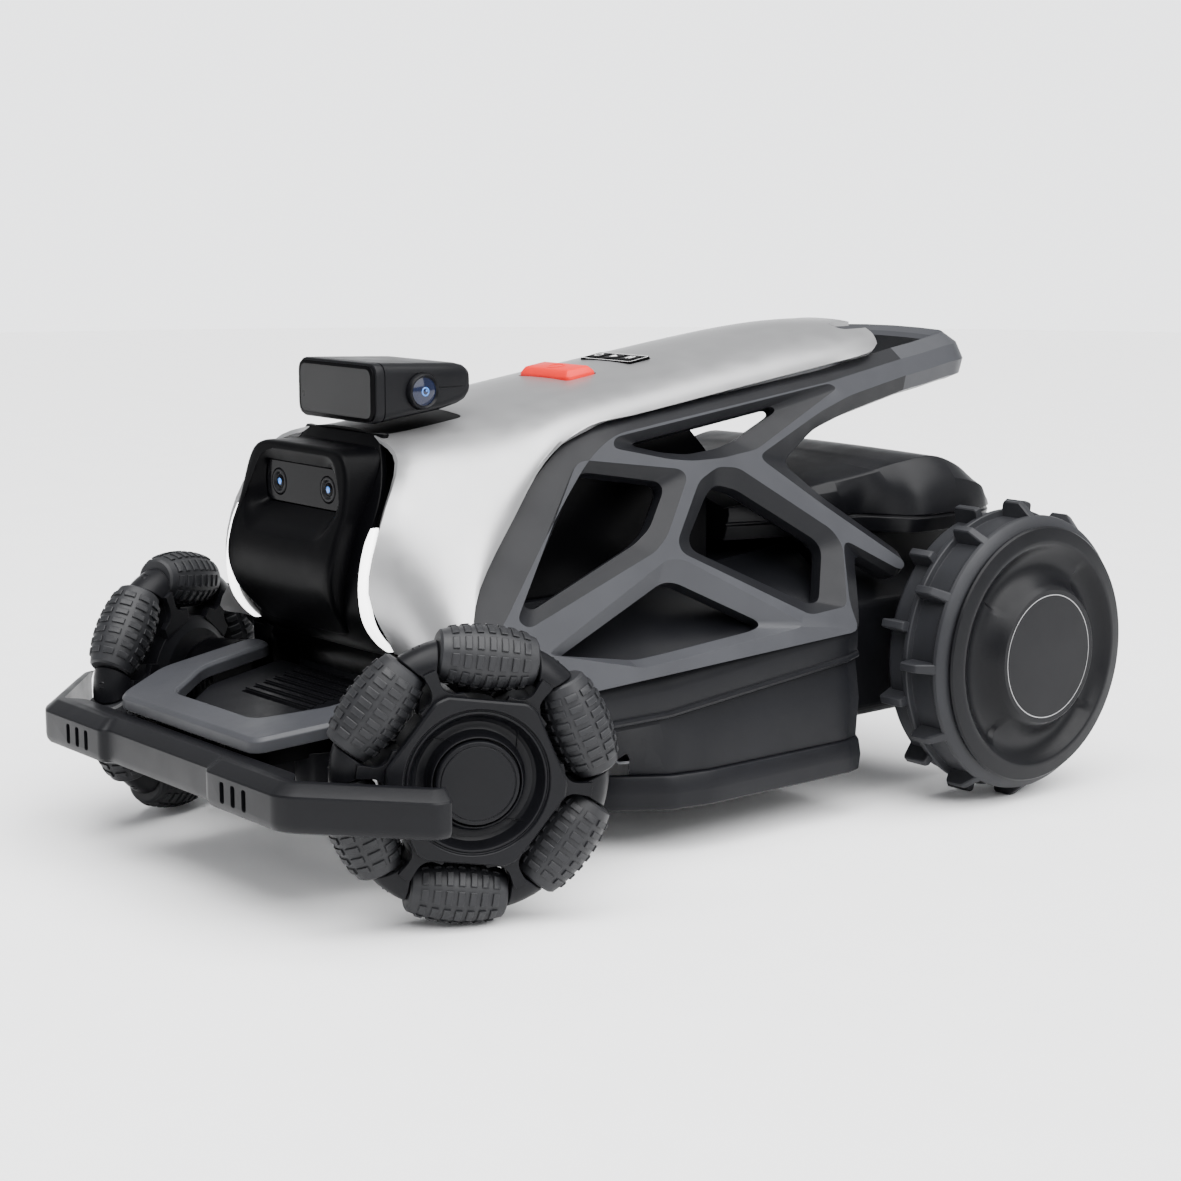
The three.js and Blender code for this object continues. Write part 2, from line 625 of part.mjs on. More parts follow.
place(mower, 'nose_shell', noseShell(), BLACK);
place(mower, 'sensor_bezel', sensorBezel(), CHARCOAL);
place(mower, 'stereo_window', stereoWindow(), GLASS);
for (const [name, side] of SIDES) {
  const barrel = new THREE.CylinderGeometry(LENS.radius, LENS.radius, 2.8, 20)
    .translate(side * LENS.x, WINDOW.y + 0.6, LENS.z);
  place(mower, `stereo_lens_${name}`, barrel, GLASS);
}

const STRIP = { inner: NOSE_X + GAP, outer: 86.2, depth: 6 };

function lightStrip() {
  const front = NOSE_PROFILE.slice(3, 9);
  const back = front.map(([y, z]) => [y + STRIP.depth, z]).reverse();
  return prismX(rounded([...front, ...back], 2), STRIP.inner, STRIP.outer, 1, 1);
}

for (const [name, side] of SIDES) {
  place(mower, `light_strip_${name}`, handed(lightStrip(), side), LIGHT);
}

// ---- Camera pod -------------------------------------------------------------
const POD = { front: 25, rear: 107, half: 47, low: 303, high: 344 };

function podHousing() {
  const outline = rounded([
    [POD.front + 2.4, POD.low + 0.3], [82, 310], [100, 314], [POD.rear, 322], [POD.rear - 1, 337],
    [96, 341.5], [POD.front + 2.4, POD.high],
  ], 5);
  const body = prismX(outline, -POD.half, POD.half, 2, 2);
  const face = prismY(rectangle(2 * POD.half, 44, 9), 0, 120).translate(0, 0, (POD.low + POD.high) / 2 + 1);
  const sockets = SIDES.map(([, side]) => (
    new THREE.CylinderGeometry(12.5, 12.5, 8, 20).rotateZ(Math.PI / 2).translate(side * POD.half, 64, 324)));
  return cut(common(body, face), ...sockets);
}

place(mower, 'pod_housing', podHousing(), CHARCOAL);
const podGlass = prismY(rectangle(2 * POD.half - 4, POD.high - POD.low - 3, 8), POD.front, POD.front + 2, 0.6)
  .translate(0, 0, (POD.low + POD.high) / 2);
place(mower, 'pod_window', podGlass, GREY);
for (const [name, side] of SIDES) {
  const lens = turnedX([[0, 0], [0, 12], [6.5, 12], [8, 10.5], [8, 8], [5.5, 6], [7, 0]], 20)
    .translate(POD.half - 3.6, 64, 324);
  place(mower, `pod_lens_${name}`, handed(lens, side), GLASS);
}

// ---- Front hoop, vent floor and bumper ----------------------------------------
const HOOP_RISE = 0.2;
const sloped = (geometry, y) => geometry.applyMatrix4(new THREE.Matrix4().set(
  1, 0, 0, 0, 0, 1, 0, 0, 0, HOOP_RISE, 1, -HOOP_RISE * y, 0, 0, 0, 1));

function frontHoop() {
  const shape = rounded([
    [-88, -98], [88, -98], [112, -52], [104, 20], [78, 20], [82, -34], [52, -74], [-52, -74], [-82, -34],
    [-78, 20], [-104, 20], [-112, -52],
  ], 9);
  return sloped(prism(shape, 106, 116, 2, 2), -98);
}

function ventFloor() {
  const shape = rounded([[-50, -66], [50, -66], [74, -34], [72, 22], [-72, 22], [-74, -34]], 4);
  shape.holes = Array.from({ length: 6 }, (_, k) => (
    rounded([[-40, -30 + 8 * k], [40, -30 + 8 * k], [40, -26 + 8 * k], [-40, -26 + 8 * k]], 1.5)));
  return sloped(prism(shape, 98, 103, 0, 1), -98);
}

function bumperBar() {
  const front = [[66, -118], [70, BUMPER_FRONT], [150, BUMPER_FRONT], [160, -118], [230, -58], [231, -48]];
  const rear = [[223, -47.5], [151, -107.5], [140, -108]];
  const half = [...front, ...rear];
  const outline = [...half, ...half.map(([x, y]) => [-x, y]).reverse()];
  const bar = layered(outline, 4, 1, [
    [-4, BUMPER_LOW], [0, BUMPER_LOW + 5], [0, BUMPER_HIGH - 5], [-4, BUMPER_HIGH],
  ]);
  const arms = SIDES.map(([, side]) => box([side * 60 - 8, side * 60 + 8], [-110, -46], [82, 93]));
  return join(bar, ...arms);
}

place(mower, 'front_hoop', frontHoop(), GRAPHITE);
place(mower, 'vent_floor', ventFloor(), CHARCOAL);
place(mower, 'bumper_bar', bumperBar(), CHARCOAL);

// ---- Omni wheels and their hub motors -------------------------------------------
function roller() {
  const steps = 4;
  const bore = ROLLER_PIN + 0.6;
  const depth = ROLLER_HALF - 6;
  const profile = [[0, -depth], [bore, -depth], [bore, -ROLLER_HALF]];
  for (let k = 0; k <= steps; k += 1) {
    const along = ROLLER_HALF * (2 * k / steps - 1);
    profile.push([Math.sqrt(FRONT_RADIUS ** 2 - along ** 2) - ROLLER_RING, along]);
  }
  profile.push([bore, ROLLER_HALF], [bore, depth], [0, depth]);
  return new THREE.LatheGeometry(profile.map(([r, y]) => new THREE.Vector2(r, y)), 8);
}

const HUB = { drum: 49, half: 20, apothem: 52, cheek: [12.6, 17.4], arm: 3.8, reach: 88, head: 16 };
const rollerAngle = (k) => ROLLER_PHASE + (2 * Math.PI * k) / ROLLER_COUNT;

// One arm with its saddle head and the two roller pins that it carries, pointing along +Z.
function hubArm() {
  const half = Math.PI / ROLLER_COUNT;
  const clearance = 1.2;
  const toEndPlane = (r) => (r * Math.sin(half) - ROLLER_HALF - clearance) / Math.cos(half);
  const shoulder = HUB.reach - 4;
  const head = prismX(polygon([
    [-toEndPlane(72), 72], [toEndPlane(72), 72], [toEndPlane(shoulder), shoulder], [3, HUB.reach],
    [-3, HUB.reach], [-toEndPlane(shoulder), shoulder],
  ]), -HUB.head, HUB.head);
  const [near, far] = HUB.cheek;
  const cheeks = [[near, far], [-far, -near]].map((x) => box(x, [-HUB.arm, HUB.arm], [44, 78]));
  const pins = SIDES.map(([, side]) => {
    const pin = new THREE.CylinderGeometry(ROLLER_PIN, ROLLER_PIN, 16, 6);
    pin.translate(0, ROLLER_HALF + 4, ROLLER_RING);
    pin.rotateX(half);
    return side > 0 ? pin : pin.rotateZ(Math.PI);
  });
  return join(head, ...cheeks, ...pins);
}

function omniHub() {
  const drum = turnedX([
    [-HUB.half, 0], [-HUB.half, HUB.drum], [HUB.half, HUB.drum], [HUB.half, 44], [14, 38], [14, 31],
    [23, 26], [24, 0],
  ], 18);
  const hex = new THREE.Shape(Array.from({ length: ROLLER_COUNT }, (_, k) => {
    const angle = rollerAngle(k + 0.5);
    const corner = HUB.apothem / Math.cos(Math.PI / ROLLER_COUNT);
    return new THREE.Vector2(corner * Math.sin(angle), corner * Math.cos(angle));
  }));
  const rim = prismX(hex, 17, 22);
  const well = turnedX([[0, 0], [0, 44.5], [40, 44.5], [40, 0]], 18);
  const arms = Array.from({ length: ROLLER_COUNT }, (_, k) => hubArm().rotateX(-rollerAngle(k + 0.5)));
  const bore = turnedX([[-30, 0], [-30, SHAFT + 1], [8, SHAFT + 1], [8, 0]], 12);
  return cut(join(drum, cut(rim, well), ...arms), bore);
}

function hubMotor() {
  return turnedX([
    [-80, 0], [-80, 22], [-74, 30], [-60, 34], [-30, 34], [-24, 30], [-24, SHAFT], [6, SHAFT], [6, 0],
  ], 20);
}

for (const [name, side] of SIDES) {
  const wheel = group(mower, side * FRONT_X, 0, FRONT_RADIUS, { z: -side * TOE_IN });
  place(wheel, `front_hub_${name}`, handed(omniHub(), side), CHARCOAL);
  place(wheel, `front_motor_${name}`, handed(hubMotor(), side), BLACK);
  for (let k = 0; k < ROLLER_COUNT; k += 1) {
    const angle = rollerAngle(k);
    const seat = group(wheel, 0, ROLLER_RING * Math.sin(angle), ROLLER_RING * Math.cos(angle), { x: -angle });
    place(seat, `roller_${name}_${k + 1}`, roller(), RUBBER);
  }
}

// ---- Drive wheels and gear motors -------------------------------------------------
const LUG = { thick: 5, inner: [156, 179], outer: [177, 203] };

function lug(x, bevel) {
  const top = REAR_RADIUS;
  const half = LUG.thick / 2;
  const section = [[x[0], CARCASS - 2], [x[1] + bevel, CARCASS - 2], [x[1], top], [x[0], top]];
  const ring = (y) => section.map(([u, z]) => point(u, y, z));
  return loft([ring(-half), ring(half)], flatXZ);
}

function rearTyre() {
  const carcass = turnedX([
    [154, RIM_BORE], [154, 92], [157, CARCASS], [202, CARCASS], [212, 96], [212, RIM_BORE], [154, RIM_BORE],
  ], 24);
  const lugs = Array.from({ length: LUGS }, (_, k) => (2 * Math.PI * k) / LUGS).flatMap((angle) => [
    lug(LUG.outer, 8).rotateX(angle),
    lug(LUG.inner, 0).rotateX(angle + Math.PI / LUGS),
  ]);
  return join(carcass, ...lugs);
}

function rearWheel() {
  return turnedX([
    [160, 0], [160, 30], [166, 34], [166, 70], [158, RIM_BORE - GAP], [212 + GAP, RIM_BORE - GAP],
    [212 + GAP, 95], [216, 95], [218, 83], [208, 72], [214, 52], [226, 50], [226, 0],
  ], 24);
}

function gearMotor() {
  return turnedX([
    [20, 0], [20, 22], [80, 22], [80, 27], [122, 27], [122, 20], [146, 20], [146, SHAFT], [190, SHAFT],
    [190, 0],
  ], 16);
}

for (const [name, side] of SIDES) {
  const axle = group(mower, 0, WHEELBASE, REAR_RADIUS);
  const bore = turnedX([[150, 0], [150, SHAFT + 1], [196, SHAFT + 1], [196, 0]], 16);
  place(axle, `rear_tyre_${name}`, handed(rearTyre(), side), RUBBER);
  place(axle, `rear_wheel_${name}`, handed(cut(rearWheel(), bore), side), CHARCOAL);
  place(axle, `gear_motor_${name}`, handed(gearMotor(), side), STEEL);
}

// ---- Cutting unit -----------------------------------------------------------------
const DISC = { radius: 92, low: 56, high: 60 };
const BLADES = 3;
const BLADE = { pivot: 82, length: 38, width: 18 };

function liftCarriage() {
  const plate = prism(rectangle(132, 132, 16), 100, 105, 0, 3);
  const well = new THREE.CylinderGeometry(36, 36, 40, 28).rotateX(Math.PI / 2).translate(0, 0, 102);
  return cut(plate, well);
}

function bladeMotor() {
  return new THREE.LatheGeometry([
    [0, 66], [8, 66], [8, 92], [35, 94], [35, 138], [28, 146], [0, 146],
  ].map(([r, z]) => new THREE.Vector2(r, z)), 24).rotateX(Math.PI / 2);
}

function cuttingDisc() {
  const plate = new THREE.LatheGeometry([
    [0, DISC.low], [DISC.radius - 3, DISC.low], [DISC.radius, DISC.low + 2], [DISC.radius - 3, DISC.high],
    [20, DISC.high], [14, 65], [0, 65],
  ].map(([r, z]) => new THREE.Vector2(r, z)), 32);
  return plate.rotateX(Math.PI / 2);
}

function blade() {
  return prism(rounded([
    [-BLADE.width / 2, -8], [BLADE.width / 2, -8], [BLADE.width / 2, BLADE.length - 8],
    [-BLADE.width / 2, BLADE.length - 8],
  ], 3), DISC.low - 2.4, DISC.low - GAP, 0, 2);
}

const cutter = group(mower, 0, MOTOR_Y, 0);
place(cutter, 'lift_carriage', liftCarriage(), CHARCOAL);
place(cutter, 'blade_motor', bladeMotor(), STEEL);
place(cutter, 'cutting_disc', cuttingDisc(), BLACK);
for (let k = 0; k < BLADES; k += 1) {
  const spoke = group(cutter, 0, 0, 0, { z: (2 * Math.PI * k) / BLADES });
  place(group(spoke, 0, BLADE.pivot, 0), `blade_${k + 1}`, blade(), STEEL);
}

// ---- Power and electronics ----------------------------------------------------------
const floorZ = BEAD_REAR - DECK_SLOPE * (DECK_REAR - 110) + RAMP_RISE + SHELL + 4;
place(mower, 'battery_pack', prismX(rounded([[68, 0], [190, 0], [190, 62], [68, 62]], 4), -50, 50, 3, 1)
  .translate(0, 0, floorZ + 8), BLACK);
const chips = [[-30, 225], [20, 235], [10, 268]].map(([x, y]) => box([x, x + 18], [y, y + 16], [232, 238]));
place(mower, 'control_board', join(box([-55, 55], [204, 292], [230, 233]), ...chips), BOARD);

export default mower;
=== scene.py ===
"""Looks of the four-wheel robotic mower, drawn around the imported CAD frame."""
import math

import bmesh
import bpy
from mathutils import Matrix, Vector


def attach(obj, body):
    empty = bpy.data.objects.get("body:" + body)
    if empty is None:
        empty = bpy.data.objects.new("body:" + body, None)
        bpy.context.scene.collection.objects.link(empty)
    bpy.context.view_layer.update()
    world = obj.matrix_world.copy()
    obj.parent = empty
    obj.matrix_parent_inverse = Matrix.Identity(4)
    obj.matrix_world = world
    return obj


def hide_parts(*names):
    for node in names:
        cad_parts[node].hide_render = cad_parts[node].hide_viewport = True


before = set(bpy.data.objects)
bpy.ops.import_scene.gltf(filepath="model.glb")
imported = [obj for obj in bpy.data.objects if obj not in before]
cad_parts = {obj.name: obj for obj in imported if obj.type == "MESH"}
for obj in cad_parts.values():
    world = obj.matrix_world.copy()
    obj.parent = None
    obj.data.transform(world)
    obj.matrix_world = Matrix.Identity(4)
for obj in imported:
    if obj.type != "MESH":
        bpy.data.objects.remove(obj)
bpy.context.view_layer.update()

# Shapes are drawn in millimetres from the front axle and the ground. DESIGN moves them to the frame.
MID_Y = 249.0
DESIGN = Matrix.Scale(0.001, 4) @ Matrix.Translation((0, -MID_Y, 0))
SIDES = (("left", 1), ("right", -1))
MIRROR = Matrix.Scale(-1, 4, (1, 0, 0))
GRAIN_DEPTH = 0.0002


# ---------------------------------------------------------------- small helpers
def shift(x, y, z):
    return Matrix.Translation((x, y, z))


def spin(angle, axis):
    return Matrix.Rotation(angle, 4, axis)


def linked(name, data):
    """An object in the scene for a mesh, light or camera."""
    item = bpy.data.objects.new(name, data)
    bpy.context.scene.collection.objects.link(item)
    return item


# ---------------------------------------------------------------- materials
def map_range(tree, source, reads, gives):
    """A shader node that carries a value from one span to another."""
    node = tree.nodes.new("ShaderNodeMapRange")
    for socket, value in zip(("From Min", "From Max", "To Min", "To Max"), (*reads, *gives)):
        node.inputs[socket].default_value = value
    tree.links.new(source, node.inputs["Value"])
    return node.outputs["Result"]


def material(name, color, rough, metallic=0.0, vary=0.12, grain=2200.0, bump=0.12, coat=0.0, emission=0.0,
             specular=0.3):
    """Moulded or painted surface: drifting colour and roughness, and a fine grain in the bump."""
    mat = bpy.data.materials.new(name)
    mat.use_nodes = True
    tree = mat.node_tree
    nodes, links = tree.nodes, tree.links
    shader = nodes["Principled BSDF"]
    sockets = {"Metallic": metallic, "Coat Weight": coat, "Coat Roughness": 0.15,
               "Specular IOR Level": specular}
    if emission:
        sockets |= {"Emission Color": (1, 1, 1, 1), "Emission Strength": emission}
    for socket, value in sockets.items():
        shader.inputs[socket].default_value = value
    coords = nodes.new("ShaderNodeTexCoord")

    def noise(scale, detail):
        node = nodes.new("ShaderNodeTexNoise")
        node.inputs["Scale"].default_value = scale
        node.inputs["Detail"].default_value = detail
        links.new(coords.outputs["Object"], node.inputs["Vector"])
        return node.outputs["Fac"]

    def drift(scale, detail, low, high):
        return map_range(tree, noise(scale, detail), (0.3, 0.7), (low, high))

    mix = nodes.new("ShaderNodeMix")
    mix.data_type = "RGBA"
    mix.inputs["A"].default_value = (*[c * (1 - vary) for c in color], 1)
    mix.inputs["B"].default_value = (*[min(c * (1 + vary), 1) for c in color], 1)
    links.new(drift(14.0, 3.0, 0, 1), mix.inputs["Factor"])
    links.new(mix.outputs["Result"], shader.inputs["Base Color"])
    links.new(drift(55.0, 4.0, rough * 0.9, rough * 1.1), shader.inputs["Roughness"])
    if bump:
        node = nodes.new("ShaderNodeBump")
        node.inputs["Strength"].default_value = bump
        node.inputs["Distance"].default_value = GRAIN_DEPTH
        links.new(noise(grain, 2.0), node.inputs["Height"])
        links.new(node.outputs["Normal"], shader.inputs["Normal"])
    return mat


# Painted shade: a darker copy of the frame's graphite, worn by the frame's chamfers and window walls.
GRAPHITE_PAINTED_SHADE = material("graphite_painted_shade", (0.0052, 0.0054, 0.0067), 0.42, grain=2600, specular=0.16)
GRAPHITE = material("graphite_satin", (0.028, 0.029, 0.033), 0.42, grain=2600, specular=0.24)
DECK_GREY = material("deck_satin", (0.0040, 0.0042, 0.0054), 0.42, grain=2600, specular=0.13)
CHARCOAL = material("charcoal_satin", (0.0034, 0.0035, 0.0044), 0.38, grain=2600, specular=0.13)
BLACK = material("black_satin", (0.0008, 0.0008, 0.0011), 0.36, grain=2600, bump=0.06, specular=0.04)
SILVER = material("silver_paint", (0.37, 0.37, 0.375), 0.34, metallic=0.85, vary=0.03, grain=5200, bump=0.04)
RUBBER = material("tread_rubber", (0.0075, 0.0078, 0.0092), 0.52, vary=0.2, grain=1500, bump=0.25)
TYRE = material("tyre_rubber", (0.0125, 0.013, 0.0152), 0.5, vary=0.18, grain=1500, bump=0.2, specular=0.22)
GLASS = material("lens_glass", (0.0015, 0.0015, 0.002), 0.12, vary=0.3, bump=0.0, specular=0.06)
DOME = material("lens_dome", (0.004, 0.008, 0.03), 0.1, vary=0.4, bump=0.0, specular=0.4)
# Painted glint: the cyan-blue reflection of the lens coating, drawn as colour on the lenses.
GLINT = material("lens_painted_glint", (0.05, 0.2, 0.6), 0.12, vary=0.4, bump=0.0, coat=0.5)
WINDOW = material("window_grey", (0.0135, 0.0135, 0.0138), 0.3, vary=0.08, bump=0.02, specular=0.12)
LIGHT = material("light_diffuser", (0.92, 0.92, 0.92), 0.3, vary=0.01, grain=900, bump=0.03, emission=4.0)
RED = material("stop_red", (0.62, 0.008, 0.006), 0.4, vary=0.06, grain=2600, bump=0.06, specular=0.2)
MARK = material("white_print", (0.85, 0.85, 0.85), 0.45, vary=0.02, bump=0.02)
STEEL = material("brushed_steel", (0.45, 0.46, 0.48), 0.3, metallic=1.0, vary=0.1, grain=700, bump=0.1)
MOTOR = material("motor_black", (0.012, 0.012, 0.015), 0.3, metallic=0.2, vary=0.15, grain=1200, bump=0.08)
BOARD = material("circuit_green", (0.012, 0.11, 0.04), 0.35, vary=0.25, grain=300, bump=0.2, coat=0.4)


# ---------------------------------------------------------------- mesh tools
def shell_mesh(name, part, place):
    """A mesh in the frame's metres from millimetre vertices and faces."""
    mesh = bpy.data.meshes.new(name)
    mesh.from_pydata([tuple(v) for v in part[0]], [], part[1])
    mesh.transform(DESIGN @ (place or Matrix.Identity(4)))
    return mesh


def face_outwards(mesh, weld=0.0):
    """Merges vertices closer than weld and turns every face outwards."""
    work = bmesh.new()
    work.from_mesh(mesh)
    if weld:
        bmesh.ops.remove_doubles(work, verts=work.verts, dist=weld)
    bmesh.ops.recalc_face_normals(work, faces=work.faces)
    work.to_mesh(mesh)
    work.free()


def finish_mesh(name, part, mat, body, stands_for=(), slot=None, place=None, bevel=0.0, segments=2,
                smooth=32, second=None):
    """Makes one object from millimetre vertices and faces and hangs it on its body.

    second is another material and the 0 or 1 of each face that says which of the two it wears."""
    mesh = shell_mesh(name, part, place)
    mesh.materials.append(mat)
    if second:
        mesh.materials.append(second[0])
        mesh.polygons.foreach_set("material_index", second[1])
    face_outwards(mesh, weld=1e-6)
    mesh.shade_smooth()
    mesh.set_sharp_from_angle(angle=math.radians(smooth))
    piece = linked(name, mesh)
    if bevel:
        mod = piece.modifiers.new("edges", "BEVEL")
        mod.width = bevel * 0.001
        mod.segments = segments
        mod.limit_method = "ANGLE"
        mod.angle_limit = math.radians(smooth)
        mod.harden_normals = True
        mod.use_clamp_overlap = True
    if body:
        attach(piece, body)
    if stands_for:
        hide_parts(*stands_for)
    return piece


def fixed(name, part, mat, stands_for=(), slot="charcoal_plastic", **finish):
    """A piece that is fixed to the chassis."""
    return finish_mesh(name, part, mat, "chassis", stands_for, slot, **finish)


def loft(rings, caps=True, closed=True):
    """Vertices and faces of a skin through rings of equal length."""
    count = len(rings[0])
    verts = [v for ring in rings for v in ring]
    faces = []
    for i in range(len(rings) - 1):
        for j in range(count if closed else count - 1):
            k = (j + 1) % count
            faces.append((i * count + j, i * count + k, (i + 1) * count + k, (i + 1) * count + j))
    if caps:
        faces.append(tuple(range(count)))
        faces.append(tuple((len(rings) - 1) * count + j for j in range(count)))
    return verts, faces


def combine(*parts):
    """Several (vertices, faces) shells as one."""
    verts, faces = [], []
    for part_verts, part_faces in parts:
        start = len(verts)
        verts.extend(part_verts)
        faces.extend(tuple(i + start for i in face) for face in part_faces)
    return verts, faces


def moved(part, matrix):
    verts, faces = part
    return [matrix @ Vector(v) for v in verts], faces


def rounded(points, radius, steps=3):
    """A polygon's corners rounded with short quadratic curves."""
    out = []
    count = len(points)
    for i, corner in enumerate(points):
        corner = Vector(corner)
        before, after = Vector(points[i - 1]), Vector(points[(i + 1) % count])
        reach_in = min(radius, (before - corner).length / 2.2)
        reach_out = min(radius, (after - corner).length / 2.2)
        start = corner + (before - corner).normalized() * reach_in
        end = corner + (after - corner).normalized() * reach_out
        for k in range(steps + 1):
            t = k / steps
            out.append(start * (1 - t) ** 2 + corner * 2 * t * (1 - t) + end * t ** 2)
    return out


def rectangle(width, height, radius, steps=4):
    x, y = width / 2, height / 2
    return rounded([(-x, -y), (x, -y), (x, y), (-x, y)], radius, steps)


def layered(layers, caps=True):
    """A skin through flat outlines, each given with its height."""
    return loft([[(*p, z) for p in outline] for outline, z in layers], caps)


def band(outer, inner, low, high):
    """A flat ring between two outlines."""
    return layered([(outer, low), (outer, high), (inner, high), (inner, low), (outer, low)], caps=False)


def double_sheet(front, back):
    """Two grids of points as one thin sheet, joined round the border."""
    rows, columns = len(front), len(front[0])
    layer = rows * columns
    faces = []
    for i in range(rows - 1):
        for j in range(columns - 1):
            a = i * columns + j
            faces.append((a, a + 1, a + columns + 1, a + columns))
            faces.append((layer + a, layer + a + columns, layer + a + columns + 1, layer + a + 1))
    border = list(range(columns - 1))
    border += [i * columns + columns - 1 for i in range(rows - 1)]
    border += [(rows - 1) * columns + j for j in range(columns - 1, 0, -1)]
    border += [i * columns for i in range(rows - 1, 0, -1)]
    for a, b in zip(border, border[1:] + border[:1]):
        faces.append((a, b, layer + b, layer + a))
    return [p for row in front + back for p in row], faces


def circle(radius, count, phase=0.0):
    turns = [2 * math.pi * (k + phase) / count for k in range(count)]
    return [(radius * math.sin(turn), radius * math.cos(turn)) for turn in turns]


def mitred(points, distance, closed=False):
    """An outline or open chain with its corners moved to the left of its direction."""
    pts = [Vector(p) for p in points]
    steps = [(b - a).normalized() for a, b in zip(pts, pts[1:] + pts[:1])]
    steps = [steps[-1], *steps] if closed else [steps[0], *steps[:-1], steps[-2]]
    out = []
    for p, before, after in zip(pts, steps, steps[1:]):
        n0, n1 = Vector((-before.y, before.x)), Vector((-after.y, after.x))
        out.append(p + (n0 + n1) / (1 + n0.dot(n1)) * distance)
    return out


def prism(outline, low, high, axes="XYZ"):
    """A straight prism of a flat outline; axes names where its two plan axes and its height point."""
    order = {"XYZ": (0, 1, 2), "YZX": (2, 0, 1), "XZY": (0, 2, 1)}[axes]
    rings = [[(p[0], p[1], level) for p in outline] for level in (low, high)]
    return loft([[tuple(point[i] for i in order) for point in ring] for ring in rings])


def revolve(profile, segments, phase=0.0):
    """A turned solid about X from (x, radius) pairs; ends on the axis are closed with a fan."""
    verts, faces = [], []
    rows = []
    for x, r in profile:
        if r < 1e-6:
            rows.append([len(verts)])
            verts.append((x, 0, 0))
            continue
        row = []
        for k in range(segments):
            angle = phase + 2 * math.pi * k / segments
            row.append(len(verts))
            verts.append((x, r * math.sin(angle), r * math.cos(angle)))
        rows.append(row)
    for low, high in zip(rows, rows[1:]):
        for k in range(segments):
            n = (k + 1) % segments
            if len(low) == 1 and len(high) == 1:
                continue
            if len(low) == 1:
                faces.append((low[0], high[k], high[n]))
            elif len(high) == 1:
                faces.append((low[k], low[n], high[0]))
            else:
                faces.append((low[k], low[n], high[n], high[k]))
    return verts, faces


def spline(points, count):
    """A centripetal Catmull-Rom curve through points, sampled evenly in its parameter."""
    pts = [Vector(p) for p in points]
    pts = [pts[0] * 2 - pts[1], *pts, pts[-1] * 2 - pts[-2]]
    out = []
    last = len(points) - 1
    for k in range(count + 1):
        t = last * k / count
        i = min(int(t), last - 1)
        u = t - i
        p0, p1, p2, p3 = pts[i:i + 4]
        d0, d1, d2 = [max((b - a).length ** 0.5, 1e-4) for a, b in ((p0, p1), (p1, p2), (p2, p3))]
        m1 = (p1 - p0) / d0 - (p2 - p0) / (d0 + d1) + (p2 - p1) / d1
        m2 = (p2 - p1) / d1 - (p3 - p1) / (d1 + d2) + (p3 - p2) / d2
        m1, m2 = m1 * d1, m2 * d1
        out.append(p1 + m1 * u + (p1 * -3 + p2 * 3 - m1 * 2 - m2) * u * u
                   + (p1 * 2 - p2 * 2 + m1 + m2) * u ** 3)
    return out


def boolean(piece, cutter_part, operation="DIFFERENCE", place=None):
    """Cuts or joins a millimetre shell into a piece and applies it."""
    mesh = shell_mesh("cutter", cutter_part, place)
    face_outwards(mesh)
    cutter = linked("cutter", mesh)
    mod = piece.modifiers.new("cut", "BOOLEAN")
    mod.operation = operation
    mod.object = cutter
    mod.solver = "EXACT"
    piece.modifiers.move(len(piece.modifiers) - 1, 0)
    with bpy.context.temp_override(object=piece, active_object=piece):
        bpy.ops.object.modifier_apply(modifier=mod.name)
    bpy.data.objects.remove(cutter)
    bpy.data.meshes.remove(mesh)


# ---------------------------------------------------------------- side frames and handle
LEAN = 0.442
LEAN_COS = 1 / math.hypot(1, LEAN)
LEAN_SIN = LEAN * LEAN_COS
PANEL_X, PANEL_Z = 157.0, 145.0
DEPTHS = (0.0, -7.0, -17.0, -22.0)
FRAME_END = 500
FRAME_WELD = 0.05

# Each corner is (y, z) of the front crease, then (y, z) where the window or rim is seen through.
FRAME_RIM = [
    ((500, 314.5), (500, 303)), ((500, 327), (500, 335)), ((415, 314), (415, 322)), ((249, 296), (249, 304)),
    ((197, 290), (196, 299)), ((178, 282), (173.5, 295.5)), ((161, 271), (153, 286.4)),
    ((136, 250), (121.5, 265.5)), ((103, 220), (86, 237)), ((60, 179), (44, 194)), ((37, 164), (25, 167)),
    ((44, 152), (36, 148)), ((70, 128), (70, 126)), ((374, 139), (380, 137)), ((371, 158), (386, 153)),
    ((383, 203), (397, 191)), ((434, 175), (436, 168)), ((441, 181), (447, 185)), ((373, 228), (381, 232)),
    ((322, 266), (351, 259)), ((397, 293), (391, 280)), ((433, 303), (430, 290)),
]
FRAME_WINDOWS = [
    [((71, 180), (83, 188)), ((79, 174), (90, 183)), ((203, 211), (192, 216)), ((217, 220), (209, 225)),
     ((250, 257), (231, 249)), ((246, 263), (228, 255)), ((162, 275), (165, 266)), ((153, 272), (156, 263))],
    [((225, 216), (241, 215)), ((226, 208), (242, 207)), ((330, 155), (336, 161)), ((368, 157), (348, 161)),
     ((381, 198), (365, 195)), ((375, 210), (362, 203)), ((300, 260), (298, 244)), ((281, 262), (280, 249)),
     ((260, 254), (269, 243))],
    [((211, 205), (206, 189)), ((88, 157), (101, 152)), ((165, 139), (165, 143)), ((191, 140), (191, 144)),
     ((287, 146), (274, 149)), ((317, 148), (284, 151)), ((320, 151), (284, 155)), ((225, 204), (218, 188))],
    [((190, 281), (214, 280)), ((239, 270), (238, 274)), ((260, 267.5), (261, 271)),
     ((288, 267.5), (290, 273)), ((323, 271), (312, 278)), ((422, 309), (359, 295)),
     ((415, 313), (357, 299)), ((194, 288), (214, 282))],
]


def panel_point(y, z, seen_depth, depth):
    """A frame point from the height it has at one depth, set at another depth."""
    along = (z - PANEL_Z - LEAN_SIN * seen_depth) / LEAN_COS
    return Vector((PANEL_X - LEAN_SIN * along + LEAN_COS * depth, y,
                   PANEL_Z + LEAN_COS * along + LEAN_SIN * depth))


